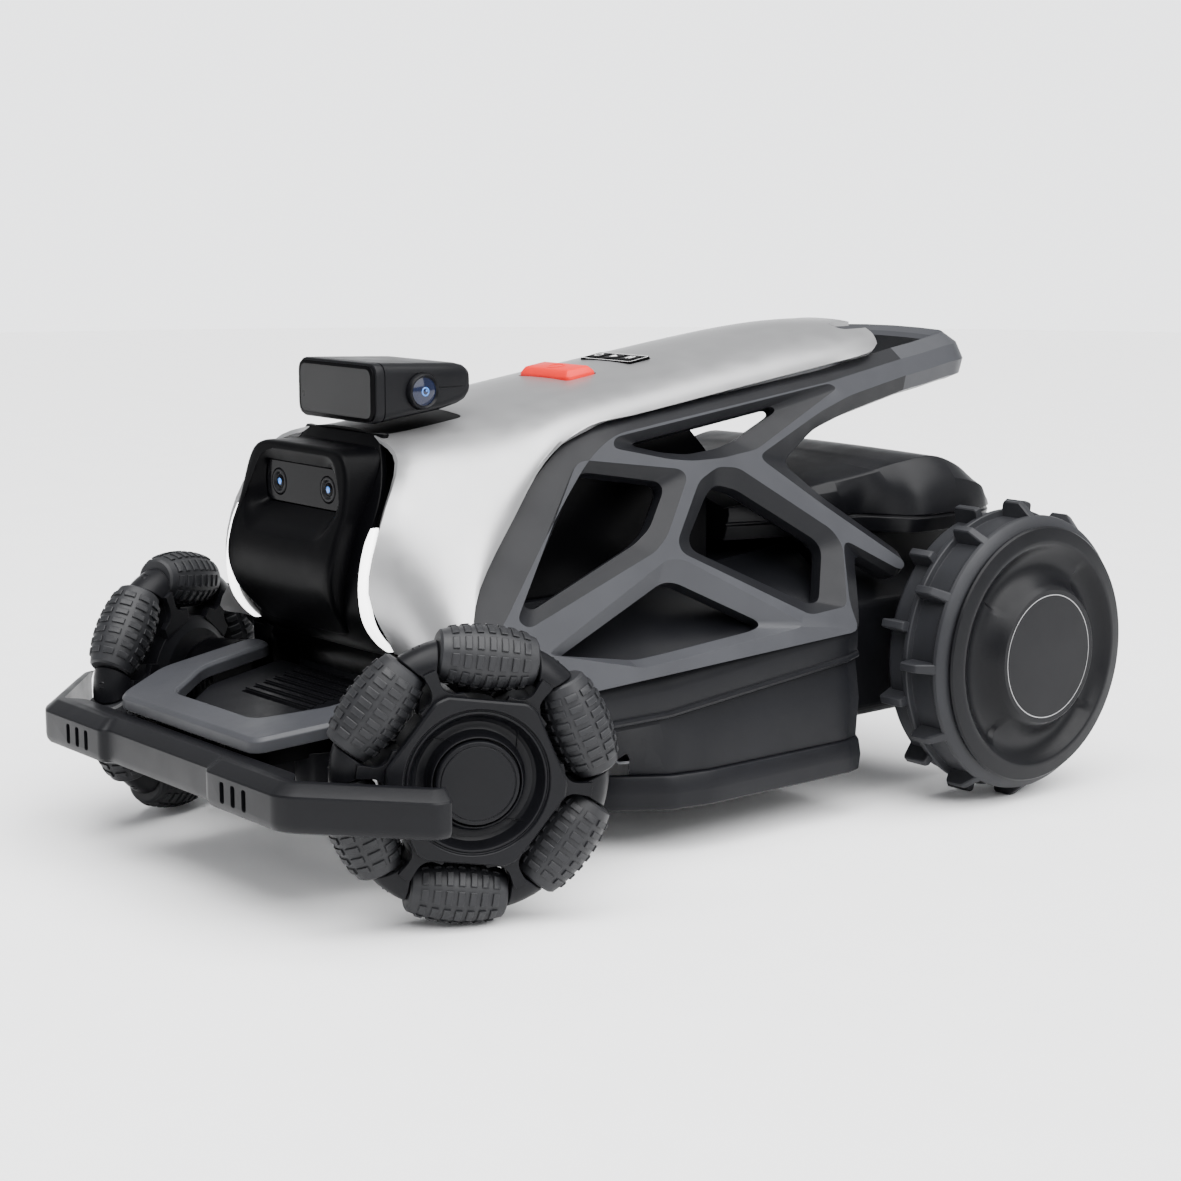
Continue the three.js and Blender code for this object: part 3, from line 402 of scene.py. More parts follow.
def panel_loops(corners, radius, fixed=0):
    """The four depth layers of one outline; its first corners can stay sharp."""
    front = [c[0] for c in corners]
    seen = [c[1] for c in corners]

    def layer(points, size):
        soft = rounded(points, size, 4)
        for i in range(fixed):
            for k in range(5):
                soft[i * 5 + k] = Vector(points[i])
        return soft

    crease, through = layer(front, radius), layer(seen, radius)
    return [
        [panel_point(*p, 0.0, DEPTHS[0]) for p in crease],
        [panel_point(*p, DEPTHS[1], DEPTHS[1]) for p in through],
        [panel_point(*p, DEPTHS[1], DEPTHS[2]) for p in through],
        [panel_point(*(p * 0.8 + q * 0.2), DEPTHS[1], DEPTHS[3]) for p, q in zip(through, crease)],
    ]


def handle_path():
    """The line of the handle's outer corner, from the frame's end to the middle."""
    path = [Vector((75.6, 525, 330.4)), Vector((74.2, 545, 333.6)), Vector((73.2, 556, 335.2))]
    for k in range(1, 13):
        angle = math.radians(86 * k / 12)
        path.append(Vector((50 + 23 * math.cos(angle), 558 + 24 * math.sin(angle), 335.4 + 0.2 * k)))
    return path + [Vector((30, 583, 338.6)), Vector((0, 583.6, 339))]


def handle_rings():
    """Rings of the handle's left half, from the frame's end to the middle."""
    start = [panel_point(FRAME_END, z, seen, depth) for z, seen, depth in (
        (314.5, 0, 0), (327, 0, 0), (335, DEPTHS[1], DEPTHS[1]), (335, DEPTHS[1], DEPTHS[2]),
        (333.4, DEPTHS[1], DEPTHS[3]), (305.3, DEPTHS[1], DEPTHS[3]), (303, DEPTHS[1], DEPTHS[2]),
        (303, DEPTHS[1], DEPTHS[1]))]
    corner = start[1]
    section = [(corner.x - p.x, p.z - corner.z) for p in start]
    path = handle_path()
    rings = [start]
    for i, p in enumerate(path):
        ahead = path[min(i + 1, len(path) - 1)]
        behind = path[i - 1] if i else corner
        along = (ahead - behind).normalized()
        inward = Vector((-along.y, along.x, 0)).normalized()
        if p.x == 0:
            inward = Vector((0, -1, 0))
        if inward.x > 0.5:
            inward = -inward
        rings.append([p + inward * step + Vector((0, 0, rise)) for step, rise in section])
    return rings


def add_row(work, points):
    """Vertices of one closed line; points that fall together share a vertex."""
    row = []
    for p in points:
        if row and (row[-1].co - p).length < 1e-4:
            row.append(row[-1])
        else:
            row.append(work.verts.new(p))
    return row


def add_walls(work, rows, number):
    """The faces between the layers of one outline; the handle takes over where the rim ends."""
    for depth, (low, high) in enumerate(zip(rows, rows[1:])):
        for j in range(len(low)):
            k = (j + 1) % len(low)
            ring = list(dict.fromkeys([low[j], low[k], high[k], high[j]]))
            at_end = number == 0 and all(abs(v.co.y - FRAME_END) < 1e-3 for v in ring)
            if len(ring) > 2 and not at_end:
                face = work.faces.new(ring)
                # Material 1 is the painted shade: every wall, and every chamfer except the third window's.
                face.material_index = int(depth > 0 or number != 3)


def add_edges(work, row):
    pairs = [(a, b) for a, b in zip(row, row[1:] + row[:1]) if a is not b]
    return [work.edges.get(pair) or work.edges.new(pair) for pair in pairs]


def mirror_half(work):
    half = bmesh.ops.duplicate(work, geom=work.verts[:] + work.edges[:] + work.faces[:])["geom"]
    for item in half:
        if isinstance(item, bmesh.types.BMVert):
            item.co.x = -item.co.x
    bmesh.ops.remove_doubles(work, verts=work.verts, dist=FRAME_WELD)


def side_frames():
    """Both frames and the handle as one shell; the walls, and every chamfer but the third window's, wear a
    darker copy of the graphite as painted shade.
    """
    work = bmesh.new()
    loops = [panel_loops(FRAME_RIM, 9, fixed=2)] + [panel_loops(w, 6) for w in FRAME_WINDOWS]
    front_edges, back_edges = [], []
    for number, layers in enumerate(loops):
        rows = [add_row(work, layer) for layer in layers]
        add_walls(work, rows, number)
        front_edges += add_edges(work, rows[0])
        back_edges += add_edges(work, rows[-1])
    for edges in (front_edges, back_edges):
        bmesh.ops.triangle_fill(work, use_beauty=True, use_dissolve=False, edges=edges)
    rings = [[work.verts.new(p) for p in ring] for ring in handle_rings()]
    for low, high in zip(rings, rings[1:]):
        for j in range(len(low)):
            k = (j + 1) % len(low)
            work.faces.new((low[j], low[k], high[k], high[j]))
    bmesh.ops.remove_doubles(work, verts=work.verts, dist=FRAME_WELD)
    mirror_half(work)
    bmesh.ops.recalc_face_normals(work, faces=work.faces)
    bmesh.ops.dissolve_limit(work, angle_limit=math.radians(0.4), verts=work.verts, edges=work.edges,
                             delimit={"MATERIAL"})
    work.verts.index_update()
    verts = [v.co.copy() for v in work.verts]
    faces = [tuple(v.index for v in f.verts) for f in work.faces]
    # The faces that wear the painted shade.
    dark = [f.material_index for f in work.faces]
    work.free()
    fixed("frame_shell", (verts, faces), GRAPHITE, ("side_frame_left", "side_frame_right", "rear_handle"),
          "graphite_plastic", bevel=1.1, smooth=14, second=(GRAPHITE_PAINTED_SHADE, dark))


side_frames()


# ---------------------------------------------------------------- top cover and its controls
COVER_NET = [
    [(90, 9, 158), (89, -10, 200), (90, 0, 244), (77, 23, 283), (40, 30, 296), (0, 32, 299)],
    [(150, 20, 158), (130, 18, 205), (108, 36, 250), (84, 62, 290), (45, 72, 302), (0, 74, 305)],
    [(133, 46, 200), (124, 54, 226), (108, 72, 259), (86, 97, 293), (46, 105, 306), (0, 107, 309)],
    [(114, 90, 243), (109, 100, 262), (100, 112, 280), (82, 128, 300), (45, 136, 311), (0, 138, 314)],
    [(98, 132, 279), (94, 140, 291), (88, 150, 302), (74, 158, 311), (42, 163, 316), (0, 165, 318)],
    [(90, 175, 297), (87, 178, 303), (80, 181, 309), (66, 184, 316), (38, 187, 320), (0, 188, 321.5)],
    [(87, 220, 302), (84, 220, 308), (78, 220, 315), (62, 220, 322), (35, 220, 325.5), (0, 220, 326)],
    [(80, 355, 319), (78, 355, 325), (71, 355, 333), (55, 355, 341.5), (30, 355, 346.5), (0, 355, 348)],
    [(77, 420, 327), (75, 420, 333), (68, 420, 341), (52, 420, 349.5), (28, 420, 355.5), (0, 420, 357)],
    [(74, 468, 334), (72, 468, 340), (65, 468, 346), (50, 468, 351.5), (27, 468, 356), (0, 468, 357.5)],
    [(64, 486, 339), (61, 487, 343), (56, 488, 347), (46, 488, 351.5), (25, 488, 355), (0, 488, 356)],
]
COVER_SKIN = 3.0
BUTTON = {"y": 218.0, "z": 325.4, "tilt": math.atan(0.145), "size": (58, 27)}
KEYPAD = {"y": 273.0, "z": 334.2, "tilt": math.atan(0.163), "size": (58, 21)}
KEY_COUNT = 3
KEY_PITCH = 18.0
MARK_LOW, MARK_TOP = 1.25, 1.42


def seat(control):
    return shift(0, control["y"], control["z"]) @ spin(control["tilt"], "X")


def cover_grid(rows, columns):
    """The net's curves, with the creases between them relaxed away."""
    full = [row + [(-x, y, z) for x, y, z in row[-2::-1]] for row in COVER_NET]
    tracks = [spline([row[j] for row in full], rows) for j in range(len(full[0]))]
    grid = [spline([track[i] for track in tracks], columns) for i in range(rows + 1)]
    for _ in range(40):
        last = [row[:] for row in grid]
        for i in range(1, rows):
            for j in range(1, columns):
                around = last[i - 1][j] + last[i + 1][j] + last[i][j - 1] + last[i][j + 1]
                grid[i][j] = last[i][j] * 0.5 + around * 0.125
    return grid


def cover_sheet(rows=44, columns=40):
    """The cover's outer skin, and its inner skin one thickness further in."""
    grid = cover_grid(rows, columns)

    def at(i, j):
        return grid[min(max(i, 0), rows)][min(max(j, 0), columns)]

    back = []
    for i in range(rows + 1):
        back.append([])
        for j in range(columns + 1):
            across = at(i, j + 1) - at(i, j - 1)
            along = at(i + 1, j) - at(i - 1, j)
            back[-1].append(grid[i][j] + across.cross(along).normalized() * COVER_SKIN)
    return double_sheet(grid, back)


def opening(control, gap, radius):
    width, depth = control["size"]
    return prism(rectangle(width + gap, depth + gap, radius), -20, 20)


def top_cover():
    cover = fixed("cover_skin", cover_sheet(), SILVER, ("top_cover",), "silver_plastic",
                  bevel=0.8, segments=3, smooth=40)
    boolean(cover, opening(BUTTON, 2, 5), place=seat(BUTTON))
    boolean(cover, opening(KEYPAD, 1, 3), place=seat(KEYPAD))
    boolean(cover, prism(rectangle(80, 140, 6), 250, 400), place=shift(0, 34, 0))
    for _, side in SIDES:
        boolean(cover, prism(rectangle(18, 60, 7), 300, 400), place=shift(side * 40, 491, 0))
    pad = fixed("camera_pad_skin", cover_sheet(), BLACK, ("camera_pad",), "black_plastic", bevel=0.6,
                smooth=40)
    boolean(pad, prism(rectangle(79, 139, 5.5), 250, 400), "INTERSECT", shift(0, 34, 0))


def crowned_pad(width, depth, radius, layers):
    """A soft-edged pad from (inset, height) layers of one rounded rectangle."""
    return loft([[(x, y, z) for x,
                  y in rectangle(width - 2 * inset, depth - 2 * inset, max(radius - inset, 0.4), 5)]
                 for inset, z in layers])


def controls():
    place = seat(BUTTON)
    pad = crowned_pad(*BUTTON["size"], 5,
                      [(0, -8), (0, 0.6), (0.25, 1.4), (3.6, 4.8), (4.2, 5.2), (5.2, 5.6)])
    finish_mesh("stop_pad", pad, RED, "stop_button", ("stop_button",), "stop_red", place, smooth=50)
    octagon = band(circle(7.2, 8, 0.5), circle(5.6, 8, 0.5), 5.4, 5.95)
    finish_mesh("stop_ring", octagon, RED, "stop_button", slot="stop_red", place=place, smooth=20)

    plate = fixed("key_plate", crowned_pad(*KEYPAD["size"], 3, [(0, -3), (0, 0.1), (0.5, 0.6)]), BLACK,
                  ("keypad_panel",), "black_plastic", place=seat(KEYPAD))
    for k in range(KEY_COUNT):
        spot = seat(KEYPAD) @ shift((k - 1) * KEY_PITCH, 0, 0)
        body = f"key_{k + 1}"
        boolean(plate, prism(rectangle(15, 15, 2.5), -10, 10), place=spot)
        key = crowned_pad(14, 14, 2.2, [(0, -2.5), (0, 0.7), (0.3, 1.1), (1.2, 1.35)])
        finish_mesh(f"key_cap_{k + 1}", key, BLACK, body, (body,), "black_plastic", spot)
        finish_mesh(f"key_mark_{k + 1}", key_marks(k), MARK, body, slot="light_cover", place=spot)
    border = band(rectangle(56.4, 19.4, 2.6), rectangle(55.4, 18.4, 2.2), 0.4, 0.66)
    fixed("key_border", border, MARK, slot="light_cover", place=seat(KEYPAD))


def bar(x, y, width, height, top=MARK_TOP):
    return moved(prism(rectangle(width, height, min(width, height) * 0.25, 2), MARK_LOW, top),
                 shift(x, y, 0))


def key_marks(k):
    """Generic signs: a power ring, a play triangle and a pause sign."""
    if k == 0:
        return combine(band(circle(3.4, 28), circle(2.7, 28), MARK_LOW, MARK_TOP),
                       bar(0, 3.2, 0.8, 3.2, 1.45))
    if k == 1:
        return prism([(-2.4, -3.2), (3.2, 0), (-2.4, 3.2)], MARK_LOW, MARK_TOP)
    return combine(bar(-1.8, 0, 1.5, 6.4), bar(1.8, 0, 1.5, 6.4))


top_cover()
controls()


# ---------------------------------------------------------------- nose, sensor face and lights
NOSE_PROFILE = [(30, 297), (22, 284), (9, 262), (-1, 244), (-9, 222), (-12, 200), (-9, 180), (-1, 167),
                (10, 157), (24, 149)]
NOSE_HALF = 78.0


def nose_curve(count=30):
    return [(p.x, p.y) for p in spline([(y, z, 0) for y, z in NOSE_PROFILE], count)]


def nose_half_width(z):
    """The nose narrows over its shoulders."""
    if z <= 244:
        return NOSE_HALF
    t = min((z - 244) / 46, 1)
    return NOSE_HALF - 30 * t ** 1.8


def nose_shell():
    front = []
    for y, z in nose_curve():
        half = nose_half_width(z)
        front.append([(half * s, y + 3.0 * (abs(s) ** 6), z) for s in (-1, -0.96, -0.8, -0.4, 0, 0.4, 0.8,
                                                                       0.96, 1)])
    back = [[(x * 0.99, y + 4.6, z) for x, y, z in row] for row in front]
    fixed("nose_skin", double_sheet(front, back), BLACK, ("nose_shell",), "black_plastic", bevel=0.8,
          smooth=40)
    throat = [[(-half, y, z), (half, y, z), (half, y + 12, z + 5), (-half, y + 12, z + 5)]
              for half, y, z in ((77, 21, 152), (86, 24, 146), (102, 28, 138), (102, 40, 128),
                                 (94, 53, 117))]
    fixed("nose_throat", loft(throat), BLACK, slot="black_plastic", bevel=0.8)


FACE_HALF = [(0, 289.5), (30, 289.3), (46, 288.3), (55, 284.5), (60, 277), (63, 266), (65, 250), (65.5, 232),
             (65, 215), (63, 200), (60.5, 188), (57, 176), (53, 168.5), (46, 165.5), (0, 165)]
FACE_STEPS = 128
FACE_DEPTH = [(290, -4.6), (287, -5), (250, -12), (229, -20), (208, -24), (188, -19), (169, -5), (164, -2)]


def curve_height(curve, z):
    """Looks up the second value of a falling curve at its first value z."""
    for a, b in zip(curve, curve[1:]):
        if b[0] <= z <= a[0]:
            return a[1] + (b[1] - a[1]) * (a[0] - z) / max(a[0] - b[0], 1e-6)
    return curve[0][1] if z > curve[0][0] else curve[-1][1]


def even_ring(points, count):
    """A closed outline set out again in equal steps from its first point."""
    pts = [Vector(p) for p in points]
    pts.append(pts[0])
    lengths = [0.0]
    for a, b in zip(pts, pts[1:]):
        lengths.append(lengths[-1] + (b - a).length)
    out, i = [], 0
    for k in range(count):
        goal = lengths[-1] * k / count
        while lengths[i + 1] < goal:
            i += 1
        share = (goal - lengths[i]) / max(lengths[i + 1] - lengths[i], 1e-9)
        out.append(pts[i].lerp(pts[i + 1], share))
    return out


def sensor_bezel():
    """A black face that rises from the nose and sinks again in a sloping pocket round the window."""
    half = [(p.x, p.y) for p in spline([(x, z, 0) for x, z in FACE_HALF], 60)]
    outline = even_ring(half + [(-x, z) for x, z in half[-2:0:-1]], FACE_STEPS)
    pocket = rounded([(0, 284), (43, 284), (60, 251), (45, 229), (-45, 229), (-60, 251), (-43, 284)], 9, 6)
    pocket = even_ring(pocket[6:] + [(0, 284)], FACE_STEPS)
    window = rounded([(0, 276), (43.5, 276), (46.5, 262), (44, 247), (-44, 247), (-46.5, 262),
                      (-43.5, 276)], 4, 4)
    window = even_ring(window[4:] + [(0, 276)], FACE_STEPS)
    front = [(p.x, p.y) for p in spline([(z, y, 0) for z, y in FACE_DEPTH], 60)]
    behind = [(z, y) for y, z in nose_curve()]

    def drawn_in(points, distance):
        middle = Vector((0, 228))
        return [p + (middle - p).normalized() * distance for p in points]

    rings = [[(p.x, curve_height(behind, p.y) + 1.5, p.y) for p in outline]]
    for distance, sink in ((0, 3.4), (0.4, 1.5), (1.3, 0.4), (2.8, 0)):
        rings.append([(p.x, min(curve_height(front, p.y) + sink, curve_height(behind, p.y) + 1), p.y)
                      for p in drawn_in(outline, distance)])
    rim = drawn_in(outline, 2.8)
    for share in (0.25, 0.5, 0.75, 0.96):
        flat = [a.lerp(b, share) for a, b in zip(rim, pocket)]
        rings.append([(p.x, curve_height(front, p.y), p.y) for p in flat])
    for share in (0.04, 0.3, 0.6, 1):
        flat = [a.lerp(b, share) for a, b in zip(pocket, window)]
        rings.append([(p.x, curve_height(front, a.y) * (1 - share) - 2 * share, p.y) for p,
                      a in zip(flat, pocket)])
    rings.append([(p.x, 3, p.y) for p in window])
    fixed("bezel_body", loft(rings), BLACK, ("sensor_bezel",), smooth=40)


def stereo_window():
    """The dark plate in the pocket and its two lenses."""
    outline = rounded([(-43.5, 247.6), (43.5, 247.6), (46, 262), (43, 275.4), (-43, 275.4), (-46, 262)], 4,
                      4)
    glass = fixed("stereo_plate", prism(outline, -1.2, 1.2, "XZY"), GLASS, ("stereo_window",), "lens_glass",
                  bevel=0.4)
    for name, side in SIDES:
        spot = shift(side * 30, 0, 261) @ spin(math.radians(-90), "Z")
        boolean(glass, moved(revolve([(-10, 0), (-10, 9.2), (10, 9.2), (10, 0)], 32), spot))
        lens_stack(f"stereo_eye_{name}", f"stereo_lens_{name}", spot, 8.6, reach=1.6)


def frame_box(x0, x1, y0, y1, z0, z1):
    return loft([[(x0, y0, z), (x1, y0, z), (x1, y1, z), (x0, y1, z)] for z in (z0, z1)])


def lens_stack(name, node, spot, radius, reach):
    """Barrel, coated glass and a small disc of painted glint; spot's +X looks outwards."""
    barrel = revolve([(-1.4, 0), (-1.4, radius), (reach - 0.5, radius), (reach, radius - 0.6),
                      (reach, radius * 0.78), (reach - 1.4, radius * 0.6), (reach - 1.6, 0)], 40)
    fixed(name, moved(barrel, spot), CHARCOAL, (node,), "lens_glass", smooth=25)
    dome = [(reach - 1.7, radius * 0.58), (reach - 1.0, radius * 0.5), (reach - 0.6, radius * 0.3),
            (reach - 0.5, 0)]
    fixed(f"{name}_glass", moved(revolve(dome, 32), spot), GLASS, slot="lens_glass", smooth=60)
    # A small disc of painted glint on the glass.
    glint = revolve([(reach - 0.45, 0), (reach - 0.45, radius * 0.24), (reach - 0.7, radius * 0.28),
                     (reach - 0.7, 0)], 24)
    fixed(f"{name}_glint", moved(glint, spot), GLINT, slot="lens_glass", smooth=60)


def light_strips():
    curve = [(y, z) for y, z in nose_curve(40) if 158 < z < 244]
    rings = []
    for i, (y, z) in enumerate(curve):
        end = min(i, len(curve) - 1 - i)
        shrink = 1 if end > 1 else 0.55 + 0.25 * end
        middle, half = 82.8, 4.5 * shrink
        rings.append([(middle - half, y + 1.2, z), (middle - half * 0.6, y + 0.2, z),
                      (middle + half * 0.6, y + 0.2, z), (middle + half, y + 1.2, z),
                      (middle + half, y + 5.6, z), (middle - half, y + 5.6, z)])
    for name, side in SIDES:
        fixed(f"light_bar_{name}", loft(rings), LIGHT, (f"light_strip_{name}",), "light_cover",
              place=MIRROR if side < 0 else None, bevel=0.5, smooth=35)


nose_shell()
sensor_bezel()
stereo_window()
light_strips()


# ---------------------------------------------------------------- camera pod
def camera_pod():
    sections = [(27.4, 304.8, 342.6, 45.6, 7), (28.0, 303.7, 343.6, 46.6, 8), (29.4, 303.4, 344, 47, 8.6),
                (33.6, 303.9, 343.9, 47, 9), (33.9, 304.5, 343.3, 46.4, 9), (34.5, 304.5, 343.3, 46.4, 9),
                (34.8, 304.1, 343.9, 47, 9), (82, 310, 342, 47, 9), (96, 313, 341.4, 46.6, 9),
                (102, 315.5, 340, 46, 8.5), (105.5, 319, 337.6, 44.5, 7), (107, 322.5, 334.5, 42, 5.5)]
    rings = []
    for y, low, high, half, radius in sections:
        line = rectangle(2 * half, high - low, radius, 6)
        rings.append([(x, y, z + (low + high) / 2) for x, z in line])
    pod = fixed("pod_body", loft(rings), CHARCOAL, ("pod_housing",), smooth=35)
    for _, side in SIDES:
        boolean(pod, frame_box(side * 47 - 0.9, side * 47 + 0.9, 78, 112, 325.4, 326.2))
        boolean(pod, moved(revolve([(-5, 0), (-5, 12.6), (5, 12.6), (5, 0)], 40), shift(side * 47, 64, 324)))
    rim, glass = rectangle(91, 37.4, 8.4, 6), rectangle(86.5, 33.4, 6.6, 6)
    spot = shift(0, 0, 323.6)
    ring = loft([[(x, y, z) for x, z in line] for line,
                 y in ((rim, 27.9), (rim, 25.8), (glass, 25.0), (glass, 27.9),
                                                              (rim, 27.9))], caps=False)
    fixed("pod_rim", moved(ring, spot), BLACK, slot="black_plastic", smooth=25)
    inner = rectangle(86.4, 33.3, 6.6, 6)
    pane = loft([[(x, y, z) for x, z in inner] for y in (25.4, 27.4)])
    fixed("pod_pane", moved(pane, spot), WINDOW, ("pod_window",), "window_grey", bevel=0.3)
    for name, side in SIDES:
        spot = shift(side * 43.2, 64, 324)
        if side < 0:
            spot = spot @ spin(math.pi, "Z")
        profile = [(0, 0), (0, 12.1), (6.8, 12.1), (8.0, 11.5), (8.3, 10.8), (7.6, 10.1), (6.9, 9.6),
                   (6.7, 0)]
        fixed(f"pod_eye_{name}", moved(revolve(profile, 48), spot), CHARCOAL, (f"pod_lens_{name}",),
              "lens_glass", smooth=28)
        dome = revolve([(6.8, 9.7), (7.6, 7.6), (8.2, 4.8), (8.5, 2), (8.6, 0)], 40)
        fixed(f"pod_eye_{name}_glass", moved(dome, spot), DOME, slot="lens_glass", smooth=60)
        # Painted glint on the dome: a cyan ring, and a small off-centre spot of painted highlight.
        glint = combine(revolve([(8.3, 3.2), (8.55, 3.0), (8.6, 2.2), (8.4, 2.0)], 32),
                        moved(revolve([(8.5, 0.9), (8.68, 0.7), (8.72, 0)], 16), shift(0, 0.8, 0.6)))
        fixed(f"pod_eye_{name}_glint", moved(glint, spot), GLINT, slot="lens_glass", smooth=60)


camera_pod()


# ---------------------------------------------------------------- front hoop, vent floor and bumper
HOOP_LINE = [(-88, -98), (88, -98), (112, -52), (104, 20), (78, 20), (82, -34), (52, -74), (-52, -74),
             (-82, -34), (-78, 20), (-104, 20), (-112, -52)]
SLOT_Z = 86.5


def sloped(part, y0=-98.0, rise=0.2):
    verts, faces = part
    return [Vector((v[0], v[1], v[2] + rise * (v[1] - y0))) for v in verts], faces


def hoop_outline(inset, radius):
    return rounded(mitred(HOOP_LINE, inset, closed=True), radius, 5)


def front_hoop():
    layers = [(hoop_outline(inset, 9), z) for inset, z in ((0, 106), (0, 113.5), (2.2, 116))]
    fixed("hoop_bar", sloped(layered(layers)), GRAPHITE, ("front_hoop",), "graphite_plastic", bevel=0.8,
          smooth=24)


def vent_floor():
    """The louvred floor inside the hoop, with a rib beside each slot."""
    outline = rounded([(-50, -66), (50, -66), (74, -34), (72, 22), (-72, 22), (-74, -34)], 5, 4)
    plate = fixed("vent_plate", sloped(prism(outline, 98, 103)), CHARCOAL, ("vent_floor",), bevel=0.6)
    for k in range(6):
        boolean(plate, sloped(moved(prism(rectangle(80, 4, 1.8), 90, 110), shift(0, -28 + 8 * k, 0))))
        rib = moved(prism(rectangle(84, 3, 1.2), 102.6, 104.2), shift(0, -24 + 8 * k, 0))
        boolean(plate, sloped(rib), "UNION")


def vent_comb():
    """Short ribs beside the vent floor and a row of teeth under the hoop's front."""
    ribs = []
    for side in (-1, 1):
        for k in range(9):
            t = k / 8
            place = shift(side * (60 + 26 * t), -70 + 44 * t, 0) @ spin(side * 0.55, "Z")
            ribs.append(moved(prism(rectangle(9, 1.6, 0.7, 2), 101, 105.6), place))
    tooth = prism(rectangle(1.6, 3, 0.5, 2), 104.6, 107)
    ribs += [moved(tooth, shift(4.2 * k, -95.4, 0)) for k in range(-19, 20)]
    fixed("vent_comb", sloped(combine(*ribs)), BLACK)


def hoop_skirt():
    layers = [(hoop_outline(inset, 6), z) for inset, z in ((8, 94), (7.5, 107), (11.5, 107), (12, 98.5))]
    fixed("hoop_skirt", sloped(layered(layers)), BLACK, smooth=24)


def both_prisms(outline, low, high):
    return combine(*[prism([(side * x, y) for x, y in outline], low, high) for _, side in SIDES])


def motor_supports():
    bracket = rounded([(84, -68), (98, -64), (108, -40), (108, 34), (84, 34)], 5)
    fixed("motor_brackets", both_prisms(bracket, 82, 104), CHARCOAL, bevel=1.0)
    mount = rounded([(84, 24), (116, 26), (126, 40), (126, 68), (84, 68)], 6)
    fixed("motor_mounts", both_prisms(mount, 96, 149), BLACK, bevel=4.0, segments=3)


def bumper():
    """The bar with its two arms, and three slots at each end with a dark plate behind them."""
    front = [(-66, -118), (66, -118), (70, -123), (150, -123), (160, -118), (230, -58), (231, -46)]
    rear = [(220.5, -49.6), (150, -108.2), (137, -98)]
    layers = []
    for inset, z in ((5.5, 73), (2, 74.6), (0.5, 77), (0, 80), (0, 96.4), (0.6, 97.6), (8, 103.6), (9, 104)):
        half = [tuple(p) for p in mitred(front, inset)[1:]] + rear
        layers.append((rounded(half + [(-x, y) for x, y in reversed(half)], 4, 5), z))
    body = finish_mesh("bumper_body", layered(layers), CHARCOAL, "bumper_bar", ("bumper_bar",),
                       "charcoal_plastic", bevel=0.5, smooth=24)
    slot = prism(rectangle(5, 14, 2), -4, 4, "XZY")
    backing = prism(rectangle(36, 18, 2), -0.6, 0.4, "XZY")
    for name, side in reversed(SIDES):
        boolean(body, frame_box(side * 60 - 8, side * 60 + 8, -112, -46, 82, 93), "UNION")
        for k in range(3):
            boolean(body, moved(slot, shift(side * (90 + 13 * k), -123, SLOT_Z)))
        finish_mesh(f"bumper_slots_{name}", moved(backing, shift(side * 103, -118.4, SLOT_Z)), BLACK,
                    "bumper_bar", slot="charcoal_plastic")


front_hoop()
vent_floor()
vent_comb()
hoop_skirt()
motor_supports()
bumper()


# ---------------------------------------------------------------- deck
# Plan half-widths along the machine: (y, at the bead, at the rim).
DECK_PLAN = [
    (46, 92, 40), (62, 122, 50), (84, 146, 62), (112, 158, 78), (140, 158, 104), (164, 158, 130),
    (196, 158, 152), (228, 158, 158), (300, 158, 158), (364, 158, 158), (378, 154, 154), (385, 145, 145),
]
RIM_START = 140
HOLLOW_END = 381


def bead_height(y):
    return 118 - 0.093 * (385 - max(y, 190))


def deck_stations(first, steps=5):
    """The plan table with smooth in-between stations."""
    rows = [row for row in DECK_PLAN if row[0] >= first]
    out = []
    for a, b in zip(rows, rows[1:]):
        out += [tuple(p + (q - p) * k / steps for p, q in zip(a, b)) for k in range(steps)]
    return out + [rows[-1]]


def both_sides(half, y):
    """A closed ring from a half profile of (x, z) pairs."""
    left = [(x, y, z) for x, z in half]
    return left + [(-x, y, z) for x, z in reversed(half) if x > 0]


def deck_upper():
    """The sloping upper deck over a moulded bead, hollow underneath."""
    rings, hollow = [], []
    for y, high, _ in deck_stations(46):
        base = bead_height(y)
        ramp = min(74, high - 20)
        rings.append(both_sides([
            (high - 6, base + 0.3), (high - 1.2, base + 0.3), (high + 0.5, base + 1.2),
            (high + 1.1, base + 2.8), (high + 0.5, base + 4.6), (high - 1.2, base + 5.6),
            (high - 0.9, base + 7.2), (high - 0.6, base + 19), (high - 1.6, base + 23.5),
            (high - 7, base + 31.6), (high - 11, base + 35.4), (ramp + 8, base + 70), (ramp, base + 76)], y))
    for station, high, _ in DECK_PLAN[:-1]:
        y = max(station, 50)
        base = bead_height(y)
        hollow.append(both_sides([(high - 5, -20), (high - 5, base + 18), (high - 14, base + 30),
                                  (min(74, high - 20) - 2, base + 71)], y))
    hollow.append([(x, HOLLOW_END, z) for x, _, z in hollow[-1]])
    upper = fixed("deck_shell", loft(rings), DECK_GREY, ("deck_upper",), "graphite_plastic", bevel=0.7,
                  smooth=26)
    boolean(upper, loft(hollow))


